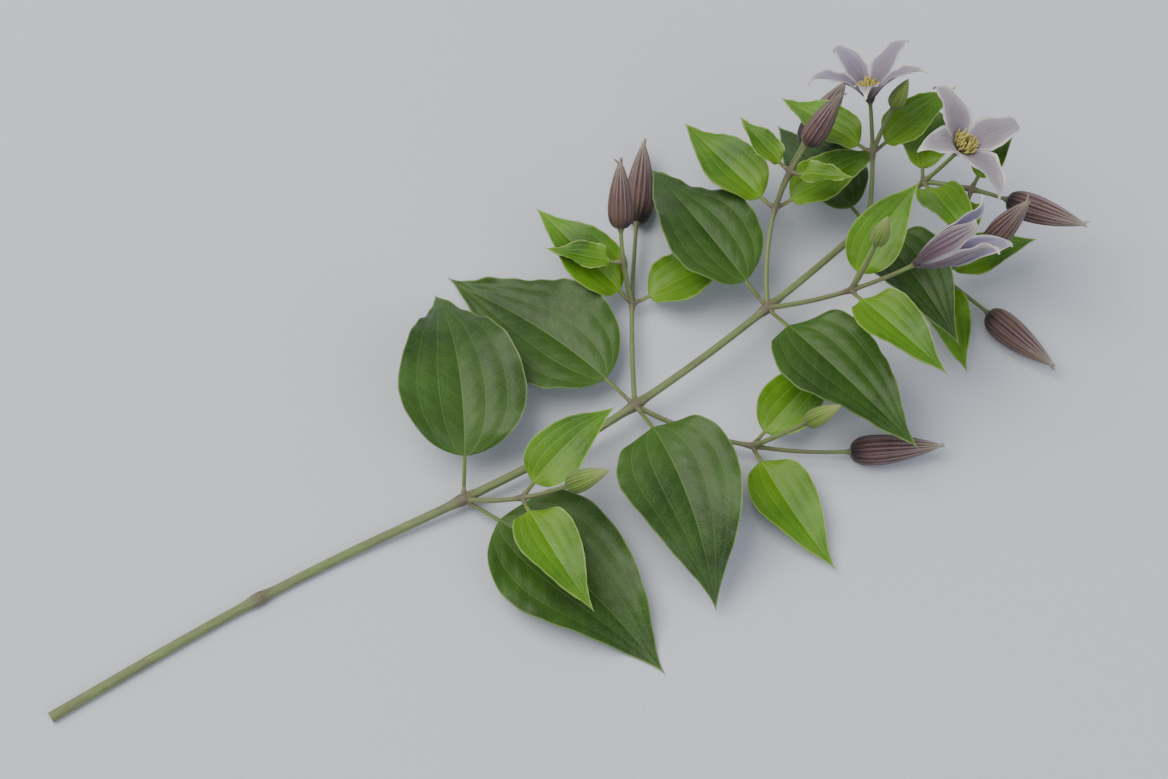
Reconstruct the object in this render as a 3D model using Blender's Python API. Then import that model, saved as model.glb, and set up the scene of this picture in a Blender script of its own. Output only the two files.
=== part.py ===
"""A cut stem of large-budded clematis, lying on a flat surface.

Metres, +Z up. The stem runs along +Y from its cut end, and the origin is the flat spot under the lower stem.
Leaves grow in opposite pairs from swollen joints, flowering shoots grow from the leaf axils, and every bud
and blossom ends a stalk.
"""

import math
import random
from typing import NamedTuple

import bmesh
import bpy
from mathutils import Matrix, Vector

# Driving sizes
SEAT_GAP = 0.0003  # clearance between a piece and the seat that carries it
BLADE_THICKNESS = 0.00065
LEAF_STALK_WIDTH = 0.0018
LEAF_STALK_DEPTH = 0.0016
LARGE_LEAF = 0.060  # blades longer than this get the finer grid
LARGE_GRID = (6, 11, 3)  # steps across, steps along, and how many of those are stalk
SMALL_GRID = (4, 8, 2)
TEPAL_THICKNESS = 0.0008
TEPAL_RIB_DEPTH = 0.0012
TEPAL_GRID = (4, 9)
TEPAL_FULLNESS, TEPAL_TAPER = 0.60, 1.20
TIP_HOOK = 50  # degrees that a tepal's drawn-out tip curls back
HOOK_START = 0.78
LEAF_FULLNESS, LEAF_TAPER = 0.66, 1.50
TEPAL_CROWDING = 0.9  # how much of its share of the circle a tepal may fill near the centre
TEPAL_FOOT = 0.0012  # how far out and up from the centre a tepal starts, and its half width there
TIP_NARROWING = 0.7  # how much of the stalk's width is gone at a leaf's tip
CALM_TIP = 0.30  # the last share of a blade, over which the waves of its edge die out
MIDRIB_FALL = 3.0  # how quickly the midrib's depth falls off to either side
SOFTNESS = 0.0012  # how gently a leaf bends where it meets the surface
FAR_ABOVE = 20  # softnesses over the surface at which a leaf no longer feels it
CURVE_SAMPLES = 24  # points on each stretch of the stem's curve
SHARP_ANGLE = math.radians(40)

# The main stem: centre line from the cut end, radius, and how far along it each leaf joint is
STEM_ROUTE = (
    (0.000, -0.052, 0.0020),
    (0.000, 0.030, 0.0020),
    (0.003, 0.090, 0.0024),
    (0.010, 0.150, 0.0060),
    (0.015, 0.210, 0.0105),
    (0.013, 0.270, 0.0150),
    (0.006, 0.330, 0.0190),
    (-0.003, 0.386, 0.0225),
)
STEM_STEPS = 26
STEM_SIDES = 8
STEM_RADIUS = (0.0023, 0.0015)
JOINTS = {1: 0.102, 2: 0.202, 3: 0.290, 4: 0.367, 5: 0.430}
JOINT_SWELLING = 0.0010
JOINT_REACH = 0.0045

SHOOT_SIDES = 6
SHOOT_RADIUS = (0.0012, 0.0009)
SHOOT_STEPS = 6
SEAT_RADIUS = 0.0012
SEAT_REACH = 0.0022  # how far a leaf's seat stands out of the stem
CUP_RADIUS = 0.0019  # the flared end of a flower stalk
CUP_LENGTH = 0.0030

BUD_RIBS, BUD_RINGS, BUD_RIB_HEIGHT = 10, 8, 0.05
GREEN_BUD_RIBS, GREEN_BUD_RINGS = 6, 7
BUD_FULLNESS, BUD_TAPER = 0.33, 0.90
RING_CROWDING = 1.6  # draws a bud's rings towards its blunt base

GOLDEN_ANGLE = 2.39996  # radians between one stamen and the next
RECEPTACLE_HEIGHT = 0.0024
RECEPTACLE_RADII = (0.0021, 0.0027)
RECEPTACLE_SIDES = 10
CORE_HEIGHT = 0.0040
CORE_RADII = (0.0017, 0.0009)
CORE_SIDES = 8
STAMEN_SIDES = 4
STAMEN_RADII = (0.00040, 0.00072, 0.00050)
STAMEN_BEND = 0.0011  # how far a stamen's tip bends back in
STAMEN_SPREAD = 0.0006
STAMEN_LEAN = (6, 0.85)  # degrees, and the share of the tepals' lean that the outermost one adds
STAMEN_LENGTHS = (0.88, 1.08)
STAMEN_KNEE = 0.70  # how far up a stamen its anther starts to bend in
STAMEN_ROOTS = (0.55, 0.25)  # how high on the core the first one stands, and how much lower the last

FOLIAGE = ((0.085, 0.215, 0.040), 0.48)
YOUNG_FOLIAGE = ((0.215, 0.420, 0.055), 0.46)
STEM_GREEN = ((0.140, 0.190, 0.070), 0.55)
BUD_BROWN = ((0.130, 0.055, 0.062), 0.60)
GREEN_BUD = ((0.270, 0.330, 0.110), 0.55)
LILAC = ((0.480, 0.400, 0.560), 0.62)
STAMEN_YELLOW = ((0.680, 0.560, 0.120), 0.65)


class Shoot(NamedTuple):
    """A flowering shoot from a joint. Heading is clockwise from +Y, pitch above level, both root then tip."""

    joint: int
    length: float
    heading: tuple
    pitch: tuple
    lowest: float = 0.0014


class Leaf(NamedTuple):
    """A leaf on a joint of the stem, or part of the way up a shoot."""

    on: object
    length: float
    width: float
    heading: tuple
    pitch: tuple
    roll: tuple = (0, 0)
    stalk: float = 0.014
    fold: float = 13.0
    wave: tuple = (0.0012, 2.0, 0.0)


class Bud(NamedTuple):
    """A closed flower at the tip of a shoot."""

    on: str
    length: float
    width: float
    bend: float = 0.05


class Bloom(NamedTuple):
    """An open flower at the tip of a shoot. Lean is a tepal's angle from the axis at root, middle and tip."""

    on: str
    count: int
    length: float
    width: float
    lean: tuple
    cup: float
    spin: float
    turns: tuple
    crown: float
    stamens: int


SHOOTS = {
    "right_2": Shoot(2, 0.054, (52, 28), (24, 34)),
    "right_3": Shoot(3, 0.100, (60, 30), (-10, 0), 0.0068),
    "left_3": Shoot(3, 0.100, (-60, -52), (-10, 1), 0.0068),
    "right_4": Shoot(4, 0.080, (48, 30), (34, 44)),
    "left_4": Shoot(4, 0.086, (-62, -26), (18, -2)),
    "right_5": Shoot(5, 0.070, (58, 78), (-24, -2), 0.0064),
    "left_5": Shoot(5, 0.060, (-46, -74), (32, 66)),
    "tip": Shoot(6, 0.056, (4, 26), (26, 66)),
    "side_right_3": Shoot("right_3", 0.032, (40, 24), (48, 40)),
    "side_left_3": Shoot("left_3", 0.036, (-80, -58), (50, 36)),
    "side_right_4": Shoot("right_4", 0.030, (-2, -14), (62, 70)),
    "side_left_4": Shoot("left_4", 0.034, (-30, -12), (52, 42)),
    "side_left_5": Shoot("left_5", 0.026, (-24, -14), (62, 58)),
    "side_tip": Shoot("tip", 0.040, (48, 60), (14, 6)),
    "side_right_5": Shoot("right_5", 0.034, (40, 20), (40, 62)),
}
BRANCHING = 0.56  # how far up a shoot its small leaves and its side stalk grow

LEAVES = {
    "right_2": Leaf(2, 0.102, 0.058, (66, 86), (6, -16), (-4, 4), wave=(0.0030, 1.6, 0.6)),
    "left_2": Leaf(2, 0.098, 0.056, (-54, -78), (34, -42), (10, 2), wave=(0.0026, 2.0, 0.0)),
    "right_3": Leaf(3, 0.092, 0.052, (96, 112), (30, -40), (6, -4), wave=(0.0026, 1.8, 1.2)),
    "left_3": Leaf(3, 0.096, 0.054, (-100, -114), (2, -20), (4, -8), wave=(0.0028, 2.1, 2.0)),
    "right_4": Leaf(4, 0.084, 0.046, (88, 76), (22, -18), (-10, -8), stalk=0.011, wave=(0.0024, 1.7, 0.4)),
    "left_4": Leaf(4, 0.082, 0.045, (-98, -82), (22, -32), (8, 14), stalk=0.011, wave=(0.0024, 1.9, 1.6)),
    "right_5": Leaf(5, 0.070, 0.036, (98, 92), (34, -22), (-10, -6), stalk=0.008, fold=16),
    "left_5": Leaf(5, 0.068, 0.035, (-88, -84), (-6, -26), (6, 8), stalk=0.008, fold=16),
    "right_2a": Leaf("right_2", 0.056, 0.026, (100, 86), (20, -18), (-8, -6), stalk=0.005, fold=16),
    "right_2b": Leaf("right_2", 0.050, 0.023, (-14, -4), (36, -8), (10, 6), stalk=0.005, fold=16),
    "right_3a": Leaf("right_3", 0.060, 0.028, (98, 86), (2, -8), (-4, -2), stalk=0.005, fold=16),
    "right_3b": Leaf("right_3", 0.054, 0.025, (-16, -10), (14, -4), (8, 6), stalk=0.005, fold=16),
    "left_3a": Leaf("left_3", 0.056, 0.027, (-112, -96), (38, -10), (5, 3), stalk=0.005, fold=16),
    "left_3b": Leaf("left_3", 0.054, 0.025, (10, -4), (12, -2), (-8, -4), stalk=0.005, fold=16),
    "right_4a": Leaf("right_4", 0.054, 0.026, (90, 74), (26, -16), (-8, -4), stalk=0.005, fold=18),
    "right_4b": Leaf("right_4", 0.050, 0.023, (-30, -14), (32, 4), (10, 4), stalk=0.005, fold=18),
    "left_4a": Leaf("left_4", 0.056, 0.027, (-104, -88), (10, -18), (6, 4), stalk=0.005, fold=18),
    "left_4b": Leaf("left_4", 0.050, 0.023, (8, -4), (20, -10), (-8, -4), stalk=0.005, fold=18),
    "right_5a": Leaf("right_5", 0.044, 0.020, (116, 104), (2, -8), (-6, -4), stalk=0.004, fold=18),
    "right_5b": Leaf("right_5", 0.042, 0.019, (12, 18), (16, -6), (6, 4), stalk=0.004, fold=18),
    "left_5a": Leaf("left_5", 0.046, 0.021, (-112, -100), (6, -22), (6, 4), stalk=0.004, fold=18),
    "left_5b": Leaf("left_5", 0.042, 0.019, (0, -6), (26, 2), (-6, -4), stalk=0.004, fold=18),
    "tip_a": Leaf("tip", 0.048, 0.022, (-56, -40), (4, -20), (8, 4), stalk=0.004, fold=18),
    "tip_b": Leaf("tip", 0.046, 0.021, (106, 92), (38, -4), (-8, -4), stalk=0.004, fold=18),
    "side_left_3a": Leaf("side_left_3", 0.030, 0.013, (-150, -134), (22, 2), (4, 2), stalk=0.003, fold=20),
    "side_left_4a": Leaf("side_left_4", 0.028, 0.012, (-108, -92), (24, 6), (4, 2), stalk=0.003, fold=20),
    "side_left_4b": Leaf("side_left_4", 0.026, 0.011, (64, 48), (34, 16), (-6, -2), stalk=0.003, fold=20),
    "side_tip_a": Leaf("side_tip", 0.030, 0.013, (-26, -10), (26, 10), (4, 2), stalk=0.003, fold=20),
    "side_tip_b": Leaf("side_tip", 0.028, 0.012, (138, 120), (10, -6), (-6, -2), stalk=0.003, fold=20),
}

BUDS = {
    "right_3": Bud("right_3", 0.042, 0.0135),
    "left_3": Bud("left_3", 0.044, 0.0140),
    "left_4": Bud("left_4", 0.041, 0.0135),
    "right_5": Bud("right_5", 0.040, 0.0132),
    "side_left_3": Bud("side_left_3", 0.032, 0.0115),
    "side_left_4": Bud("side_left_4", 0.030, 0.0110),
    "side_tip": Bud("side_tip", 0.038, 0.0128),
    "side_right_5": Bud("side_right_5", 0.034, 0.0120),
}
GREEN_BUDS = {
    "right_2": Bud("right_2", 0.022, 0.0094, 0.0),
    "side_right_3": Bud("side_right_3", 0.019, 0.0086, 0.0),
    "side_right_4": Bud("side_right_4", 0.017, 0.0080, 0.0),
    "side_left_5": Bud("side_left_5", 0.016, 0.0078, 0.0),
}
BLOOMS = {
    "tip": Bloom("tip", 4, 0.036, 0.0150, (34, 64, 118), 28, 20, (0, 8, -6, 12), 0.0100, 14),
    "left_5": Bloom("left_5", 5, 0.036, 0.0110, (28, 50, 100), 32, 50, (-8, 6, 14, 0, -12), 0.0095, 13),
    "right_4": Bloom("right_4", 4, 0.045, 0.0130, (34, -16, 14), 50, 10, (0, -2, 50, 6), 0.0115, 9),
}


class Spine:
    """A growing line whose heading, pitch and roll, in degrees, turn evenly from root to tip."""

    STEPS = 60

    def __init__(self, root, length, heading, pitch, roll=(0, 0), lowest=None):
        self.length, self.heading, self.pitch, self.roll = length, heading, pitch, roll
        self.points = [Vector(root)]
        for step in range(self.STEPS):
            ahead = self.forward((step + 0.5) / self.STEPS) * (length / self.STEPS)
            self.points.append(self.points[-1] + ahead)
        if lowest is not None:
            for point in self.points:
                point.z = above_surface(point.z, lowest)

    def turned(self, pair, share):
        return math.radians(pair[0] + (pair[1] - pair[0]) * share)

    def forward(self, share):
        heading, pitch = self.turned(self.heading, share), self.turned(self.pitch, share)
        level = math.cos(pitch)
        return Vector((math.sin(heading) * level, math.cos(heading) * level, math.sin(pitch)))

    def place(self, share):
        """The point at this share of the length."""
        step = min(max(share, 0.0), 1.0) * self.STEPS
        low = min(int(step), self.STEPS - 1)
        return self.points[low].lerp(self.points[low + 1], step - low)

    def frame(self, share):
        """The point, and the right, up and forward directions there."""
        ahead = self.forward(share)
        right = ahead.cross(Vector((0, 0, 1))).normalized()
        right.rotate(Matrix.Rotation(self.turned(self.roll, share), 3, ahead))
        return self.place(share), right, right.cross(ahead), ahead


def above_surface(height, lowest):
    """The height, eased so that it never falls below the lowest one."""
    over = (height - lowest) / SOFTNESS
    return height if over > FAR_ABOVE else lowest + SOFTNESS * math.log1p(math.exp(over))


def smooth_route(points, steps):
    """A smooth line through the points, as evenly stepped points."""
    ends = [2 * points[0] - points[1], *points, 2 * points[-1] - points[-2]]
    line = []
    for index in range(1, len(ends) - 2):
        before, start, end, after = ends[index - 1 : index + 3]
        for step in range(CURVE_SAMPLES):
            t = step / CURVE_SAMPLES
            bend = (2 * before - 5 * start + 4 * end - after) * t * t
            twist = (3 * start - before - 3 * end + after) * t * t * t
            line.append(0.5 * (2 * start + (end - before) * t + bend + twist))
    line.append(points[-1])
    lengths = [0.0]
    for start, end in zip(line, line[1:]):
        lengths.append(lengths[-1] + (end - start).length)
    route, index = [], 0
    for step in range(steps + 1):
        wanted = lengths[-1] * step / steps
        while index < len(line) - 2 and lengths[index + 1] < wanted:
            index += 1
        share = (wanted - lengths[index]) / (lengths[index + 1] - lengths[index])
        route.append(line[index].lerp(line[index + 1], share))
    return route, lengths[-1]


def material(name, finish):
    colour, roughness = finish
    made = bpy.data.materials.new(name)
    made.use_nodes = True
    shader = made.node_tree.nodes["Principled BSDF"]
    shader.inputs["Base Color"].default_value = (*colour, 1.0)
    shader.inputs["Roughness"].default_value = roughness
    shader.inputs["Metallic"].default_value = 0.0
    return made


def new_object(name, mesh, finish=None, where=(0, 0, 0), collection=None):
    made = bpy.data.objects.new(name, mesh)
    (collection or bpy.context.scene.collection).objects.link(made)
    made.location = where
    if finish:
        made.data.materials.append(finish)
    return made


def mesh_from(bm, name):
    mesh = bpy.data.meshes.new(name)
    bm.to_mesh(mesh)
    bm.free()
    return mesh


def evaluated_mesh(obj):
    graph = bpy.context.evaluated_depsgraph_get()
    return bpy.data.meshes.new_from_object(obj.evaluated_get(graph))


def closed_tube(name, points, radii, sides, collection, twist="Z_UP"):
    """A round bar along the points. The Z_UP twist keeps a flat side down, and MINIMUM suits upright bars."""
    curve = bpy.data.curves.new(name, "CURVE")
    curve.dimensions = "3D"
    curve.twist_mode = twist
    curve.bevel_depth = 1.0
    curve.bevel_resolution = sides // 2 - 2
    curve.use_fill_caps = True
    spline = curve.splines.new("POLY")
    spline.points.add(len(points) - 1)
    for control, point, radius in zip(spline.points, points, radii):
        control.co = (*point, 1.0)
        control.radius = radius
        control.tilt = math.pi / sides
    guide = new_object(name, curve)
    bpy.context.view_layer.update()
    mesh = evaluated_mesh(guide)
    bpy.data.objects.remove(guide)
    bm = bmesh.new()
    bm.from_mesh(mesh)
    bmesh.ops.remove_doubles(bm, verts=bm.verts, dist=1e-6)
    bmesh.ops.recalc_face_normals(bm, faces=bm.faces)
    bm.to_mesh(mesh)
    bm.free()
    return new_object(name, mesh, collection=collection)


def join_all(name, pieces, finish, solver="EXACT"):
    """One solid from a collection of overlapping ones."""
    body, *rest = list(pieces.objects)
    pieces.objects.unlink(body)
    bpy.context.scene.collection.objects.link(body)
    union = body.modifiers.new("Join", "BOOLEAN")
    union.operation = "UNION"
    union.operand_type = "COLLECTION"
    union.collection = pieces
    union.solver = solver
    bpy.context.view_layer.update()
    mesh = evaluated_mesh(body)
    for piece in [body, *rest]:
        bpy.data.objects.remove(piece)
    bpy.data.collections.remove(pieces)
    mesh.materials.clear()
    joined = new_object(name, mesh, finish)
    mesh.shade_smooth()
    mesh.set_sharp_from_angle(angle=SHARP_ANGLE)
    return joined


def new_collection(name):
    made = bpy.data.collections.new(name)
    bpy.context.scene.collection.children.link(made)
    return made


def route_place(route, length, distance):
    """The point and the direction at this distance along the stem."""
    step = distance / length * (len(route) - 1)
    low = min(int(step), len(route) - 2)
    return route[low].lerp(route[low + 1], step - low), (route[low + 1] - route[low]).normalized()


def stem_radius(distance, length):
    radius = STEM_RADIUS[0] + (STEM_RADIUS[1] - STEM_RADIUS[0]) * distance / length
    for joint in JOINTS.values():
        radius += JOINT_SWELLING * math.exp(-(((distance - joint) / JOINT_REACH) ** 2))
    return radius


def main_stem(route, length, pieces):
    """The bare lower stem lies on the surface, which flattens the facets under it."""
    distances = sorted({length * step / STEM_STEPS for step in range(STEM_STEPS + 1)}.union(
        joint + offset for joint in JOINTS.values() for offset in (-JOINT_REACH, 0.0, JOINT_REACH)
    ))
    points = [route_place(route, length, distance)[0] for distance in distances]
    radii = [stem_radius(distance, length) for distance in distances]
    stem = closed_tube("main_stem", points, radii, STEM_SIDES, pieces)
    for vertex in stem.data.vertices:
        vertex.co.z = max(vertex.co.z, 0.0)


def shoot_spines(route, length):
    """The spine of each shoot, rooted in the middle of its joint, of the stem's tip or of another shoot."""
    spines = {}
    for name, shoot in SHOOTS.items():
        if shoot.joint in JOINTS:
            root = route_place(route, length, JOINTS[shoot.joint])[0]
        elif shoot.joint in spines:
            root = spines[shoot.joint].place(BRANCHING)
        else:
            root = route[-2]
        spines[name] = Spine(root, shoot.length, shoot.heading, shoot.pitch, lowest=shoot.lowest)
    return spines


def flower_stalks(spines, pieces):
    """Each shoot as a tapered stalk that flares into a small cup at its tip."""
    for name, spine in spines.items():
        cup = CUP_LENGTH / spine.length
        shares = [step / SHOOT_STEPS * (1 - cup) for step in range(SHOOT_STEPS + 1)] + [1.0]
        radii = [SHOOT_RADIUS[0] + (SHOOT_RADIUS[1] - SHOOT_RADIUS[0]) * share for share in shares[:-1]]
        points = [spine.place(share) for share in shares]
        closed_tube("stalk_" + name, points, [*radii, CUP_RADIUS], SHOOT_SIDES, pieces)


def leaf_root(leaf, route, length, spines):
    """The middle of what carries the leaf, and the stem's or shoot's radius there."""
    if leaf.on in JOINTS:
        distance = JOINTS[leaf.on]
        return route_place(route, length, distance)[0], stem_radius(distance, length)
    spine = spines[leaf.on]
    return spine.place(BRANCHING), SHOOT_RADIUS[0]


def leaf_seats(route, length, spines, pieces):
    """A short stub on the stem for each leaf, with its flat end facing the leaf's stalk."""
    starts = {}
    for name, leaf in LEAVES.items():
        middle, radius = leaf_root(leaf, route, length, spines)
        ahead = Spine(middle, leaf.length, leaf.heading, leaf.pitch).forward(0.0)
        seat = middle + ahead * (radius + SEAT_REACH)
        closed_tube("seat_" + name, [middle, seat], [SEAT_RADIUS] * 2, SHOOT_SIDES, pieces)
        starts[name] = seat + ahead * SEAT_GAP
    return starts


def outline(share, fullness, taper):
    """Half the width of a pointed egg-shaped blade, as a share of its widest, from base to tip."""
    widest = fullness / (fullness + taper)
    return (share**fullness * (1 - share) ** taper) / (widest**fullness * (1 - widest) ** taper)


def thickened(obj, most, least, group):
    """Gives the sheet its thickness on its underside, from least to most where the group's weight is full."""
    solid = obj.modifiers.new("Thickness", "SOLIDIFY")
    solid.thickness = most
    solid.offset = -1.0
    solid.vertex_group = group
    solid.thickness_vertex_group = least / most


def sheet(name, across, along, surface):
    """A grid bent to a surface(u, v), with u from -1 to 1 across it and v from 0 to 1 along it."""
    bm = bmesh.new()
    bmesh.ops.create_grid(bm, x_segments=across, y_segments=along, size=1.0)
    weights = bm.verts.layers.deform.verify()
    for vertex in bm.verts:
        place, weight = surface(vertex.co.x, (vertex.co.y + 1) / 2)
        vertex.co = place
        vertex[weights][0] = weight
    bmesh.ops.triangulate(bm, faces=bm.faces, quad_method="SHORT_EDGE")
    return mesh_from(bm, name)


def leaf_blade(name, leaf, start, finish):
    """A leaf: a narrow deep stalk that opens into a thin blade, folded along its midrib and pointed."""
    across, along, stalk_rows = LARGE_GRID if leaf.length > LARGE_LEAF else SMALL_GRID
    total = leaf.length + leaf.stalk
    spine = Spine(start, total, leaf.heading, leaf.pitch, leaf.roll)

    def surface(u, v):
        row = round(v * along)
        if row <= stalk_rows:
            reached, opened, half = leaf.stalk * row / stalk_rows, 0.0, LEAF_STALK_WIDTH / 2
        else:
            opened = (1 - math.cos(math.pi * (row - stalk_rows) / (along - stalk_rows))) / 2
            reached = leaf.stalk + leaf.length * opened
            half = leaf.width / 2 * outline(opened, LEAF_FULLNESS, LEAF_TAPER)
            half += LEAF_STALK_WIDTH / 2 * (1 - TIP_NARROWING * opened)
        middle, right, up, _ = spine.frame(reached / total)
        spread = u * half
        wave, count, phase = leaf.wave
        edge = wave * math.sin(2 * math.pi * count * opened + phase + (u > 0)) * u * u * (opened > 0)
        edge *= min(1.0, (1 - opened) / CALM_TIP)
        lifted = abs(spread) * math.tan(math.radians(leaf.fold)) + edge
        point = middle + right * spread + up * lifted
        stalked = 1.0 if row <= stalk_rows else max(0.0, 1 - MIDRIB_FALL * abs(u)) * (1 - opened)
        depth = BLADE_THICKNESS + (LEAF_STALK_DEPTH - BLADE_THICKNESS) * stalked
        point.z = above_surface(point.z, depth)
        return point - start, stalked

    made = new_object("leaf_" + name, sheet(name, across, along, surface), finish, start)
    made.vertex_groups.new(name="stalk")
    thickened(made, LEAF_STALK_DEPTH, BLADE_THICKNESS, "stalk")
    return made


def facing(spine, gap):
    """A transform that stands a piece on the tip of a stalk, its own +Z along the stalk."""
    tip, right, up, ahead = spine.frame(1.0)
    turn = Matrix((up, right, ahead)).transposed().to_4x4()
    return Matrix.Translation(tip + ahead * gap) @ turn


def closed_bud(name, bud, spine, finish, ribs, rings):
    """A closed flower: blunt at its base, widest a quarter of the way up, ribbed and drawn out to a point."""
    bm = bmesh.new()
    bmesh.ops.create_uvsphere(bm, u_segments=2 * ribs, v_segments=rings, radius=1.0)
    widest = BUD_FULLNESS / (BUD_FULLNESS + BUD_TAPER)
    fullest = widest**BUD_FULLNESS * (1 - widest) ** BUD_TAPER
    for vertex in bm.verts:
        around = math.atan2(vertex.co.y, vertex.co.x)
        share = (math.acos(max(-1.0, min(1.0, -vertex.co.z))) / math.pi) ** RING_CROWDING
        radius = bud.width / 2 * share**BUD_FULLNESS * (1 - min(share, 1.0)) ** BUD_TAPER / fullest
        radius *= 1 + BUD_RIB_HEIGHT * math.cos(ribs * around)
        vertex.co = (
            radius * math.cos(around) + bud.bend * bud.length * share * share,
            radius * math.sin(around),
            bud.length * share,
        )
    made = new_object(name, mesh_from(bm, name), finish)
    made.matrix_world = facing(spine, SEAT_GAP)
    made.data.shade_smooth()
    return made


def tepal(name, bloom, index, pieces):
    """One tepal of an open flower, rooted in its middle: ribbed outside, recurved, with a drawn-out tip."""
    across, along = TEPAL_GRID
    around = math.radians(bloom.spin) + 2 * math.pi * index / bloom.count
    outward = Vector((math.cos(around), math.sin(around), 0))
    side = outward.cross(Vector((0, 0, 1)))
    root, middle, tip = bloom.lean
    rows = []
    place = Vector((TEPAL_FOOT, TEPAL_FOOT))
    for row in range(along + 1):
        share = row / along
        lean = root * (1 - share) ** 2 + 2 * middle * share * (1 - share) + tip * share**2
        hook = TIP_HOOK * max(0.0, (share - HOOK_START) / (1 - HOOK_START))
        lean = math.radians(lean + bloom.turns[index] * share + hook)
        rows.append((place.copy(), lean))
        place += Vector((math.sin(lean), math.cos(lean))) * bloom.length / along

    def surface(u, v):
        row = round(v * along)
        (reach, height), lean = rows[row]
        share = row / along
        half = bloom.width / 2 * outline(share, TEPAL_FULLNESS, TEPAL_TAPER) + TEPAL_FOOT * (1 - share / 2)
        half = min(half, TEPAL_CROWDING * (reach + TEPAL_FOOT / 2) * math.tan(math.pi / bloom.count))
        arc = math.radians(bloom.cup) * (1 - share / 2)
        inward = -outward * math.cos(lean) + Vector((0, 0, math.sin(lean)))
        middle_point = outward * reach + Vector((0, 0, height))
        curl = math.sin(arc * u) / arc * half, (1 - math.cos(arc * u)) / arc * half
        ribbed = 1.0 if abs(u) < 1 and row < along else 0.0
        return middle_point + side * curl[0] + inward * curl[1], ribbed

    made = new_object(name, sheet(name, across, along, surface), collection=pieces)
    made.vertex_groups.new(name="ribs")
    thickened(made, TEPAL_RIB_DEPTH, TEPAL_THICKNESS, "ribs")
    bpy.context.view_layer.update()
    solid = evaluated_mesh(made)
    made.modifiers.clear()
    made.data = solid


def cone_piece(name, low, high, radii, sides, pieces):
    bm = bmesh.new()
    bmesh.ops.create_cone(
        bm, cap_ends=True, segments=sides, radius1=radii[0], radius2=radii[1], depth=high - low,
        matrix=Matrix.Translation((0, 0, (low + high) / 2)),
    )
    return new_object(name, mesh_from(bm, name), collection=pieces)


def open_bloom(name, bloom, spine, tepal_finish, stamen_finish):
    """Tepals joined to the receptacle, and the crown of stamens that stands on it."""
    rng = random.Random(name)
    pieces = new_collection(name)
    cone_piece("receptacle", 0.0, RECEPTACLE_HEIGHT, RECEPTACLE_RADII, RECEPTACLE_SIDES, pieces)
    for index in range(bloom.count):
        tepal(f"tepal_{index}", bloom, index, pieces)
    tepals = join_all("tepals_" + name, pieces, tepal_finish)

    pieces = new_collection(name)
    floor = RECEPTACLE_HEIGHT + SEAT_GAP
    spread = (bloom.lean[0] + bloom.lean[1]) / 2
    cone_piece("core", floor, floor + CORE_HEIGHT, CORE_RADII, CORE_SIDES, pieces)
    for index in range(bloom.stamens):
        around = GOLDEN_ANGLE * index
        share = (index + 0.5) / bloom.stamens
        lean = math.radians(STAMEN_LEAN[0] + spread * STAMEN_LEAN[1] * share)
        reach = bloom.crown * rng.uniform(*STAMEN_LENGTHS)
        outward = Vector((math.cos(around), math.sin(around), 0))
        height = floor + CORE_HEIGHT * (STAMEN_ROOTS[0] - STAMEN_ROOTS[1] * share)
        root = Vector((0, 0, height)) + outward * STAMEN_SPREAD
        ahead = outward * math.sin(lean) + Vector((0, 0, math.cos(lean)))
        points = [root, root + ahead * reach * STAMEN_KNEE, root + ahead * reach - outward * STAMEN_BEND]
        closed_tube(f"stamen_{index}", points, STAMEN_RADII, STAMEN_SIDES, pieces, "MINIMUM")
    stamens = join_all("stamens_" + name, pieces, stamen_finish, "MANIFOLD")
    for made in (tepals, stamens):
        made.matrix_world = facing(spine, SEAT_GAP)


def build():
    for old in list(bpy.data.objects):
        bpy.data.objects.remove(old)
    leaf_green = material("leaf_green", FOLIAGE)
    young_green = material("young_leaf_green", YOUNG_FOLIAGE)
    bud_brown = material("bud_brown", BUD_BROWN)
    bud_green = material("bud_green", GREEN_BUD)
    lilac = material("tepal_lilac", LILAC)
    yellow = material("stamen_yellow", STAMEN_YELLOW)

    route, length = smooth_route([Vector(point) for point in STEM_ROUTE], STEM_STEPS * 2)
    pieces = new_collection("stem")
    main_stem(route, length, pieces)
    spines = shoot_spines(route, length)
    flower_stalks(spines, pieces)
    starts = leaf_seats(route, length, spines, pieces)
    join_all("stem", pieces, material("stem_green", STEM_GREEN))

    for name, leaf in LEAVES.items():
        leaf_blade(name, leaf, starts[name], leaf_green if leaf.on in JOINTS else young_green)
    for name, bud in BUDS.items():
        closed_bud("bud_" + name, bud, spines[bud.on], bud_brown, BUD_RIBS, BUD_RINGS)
    for name, bud in GREEN_BUDS.items():
        closed_bud("green_bud_" + name, bud, spines[bud.on], bud_green, GREEN_BUD_RIBS, GREEN_BUD_RINGS)
    for name, bloom in BLOOMS.items():
        open_bloom(name, bloom, spines[bloom.on], lilac, yellow)


build()
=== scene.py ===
import math
import random
from typing import NamedTuple

import bmesh
import bpy
from mathutils import Matrix, Vector


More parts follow.
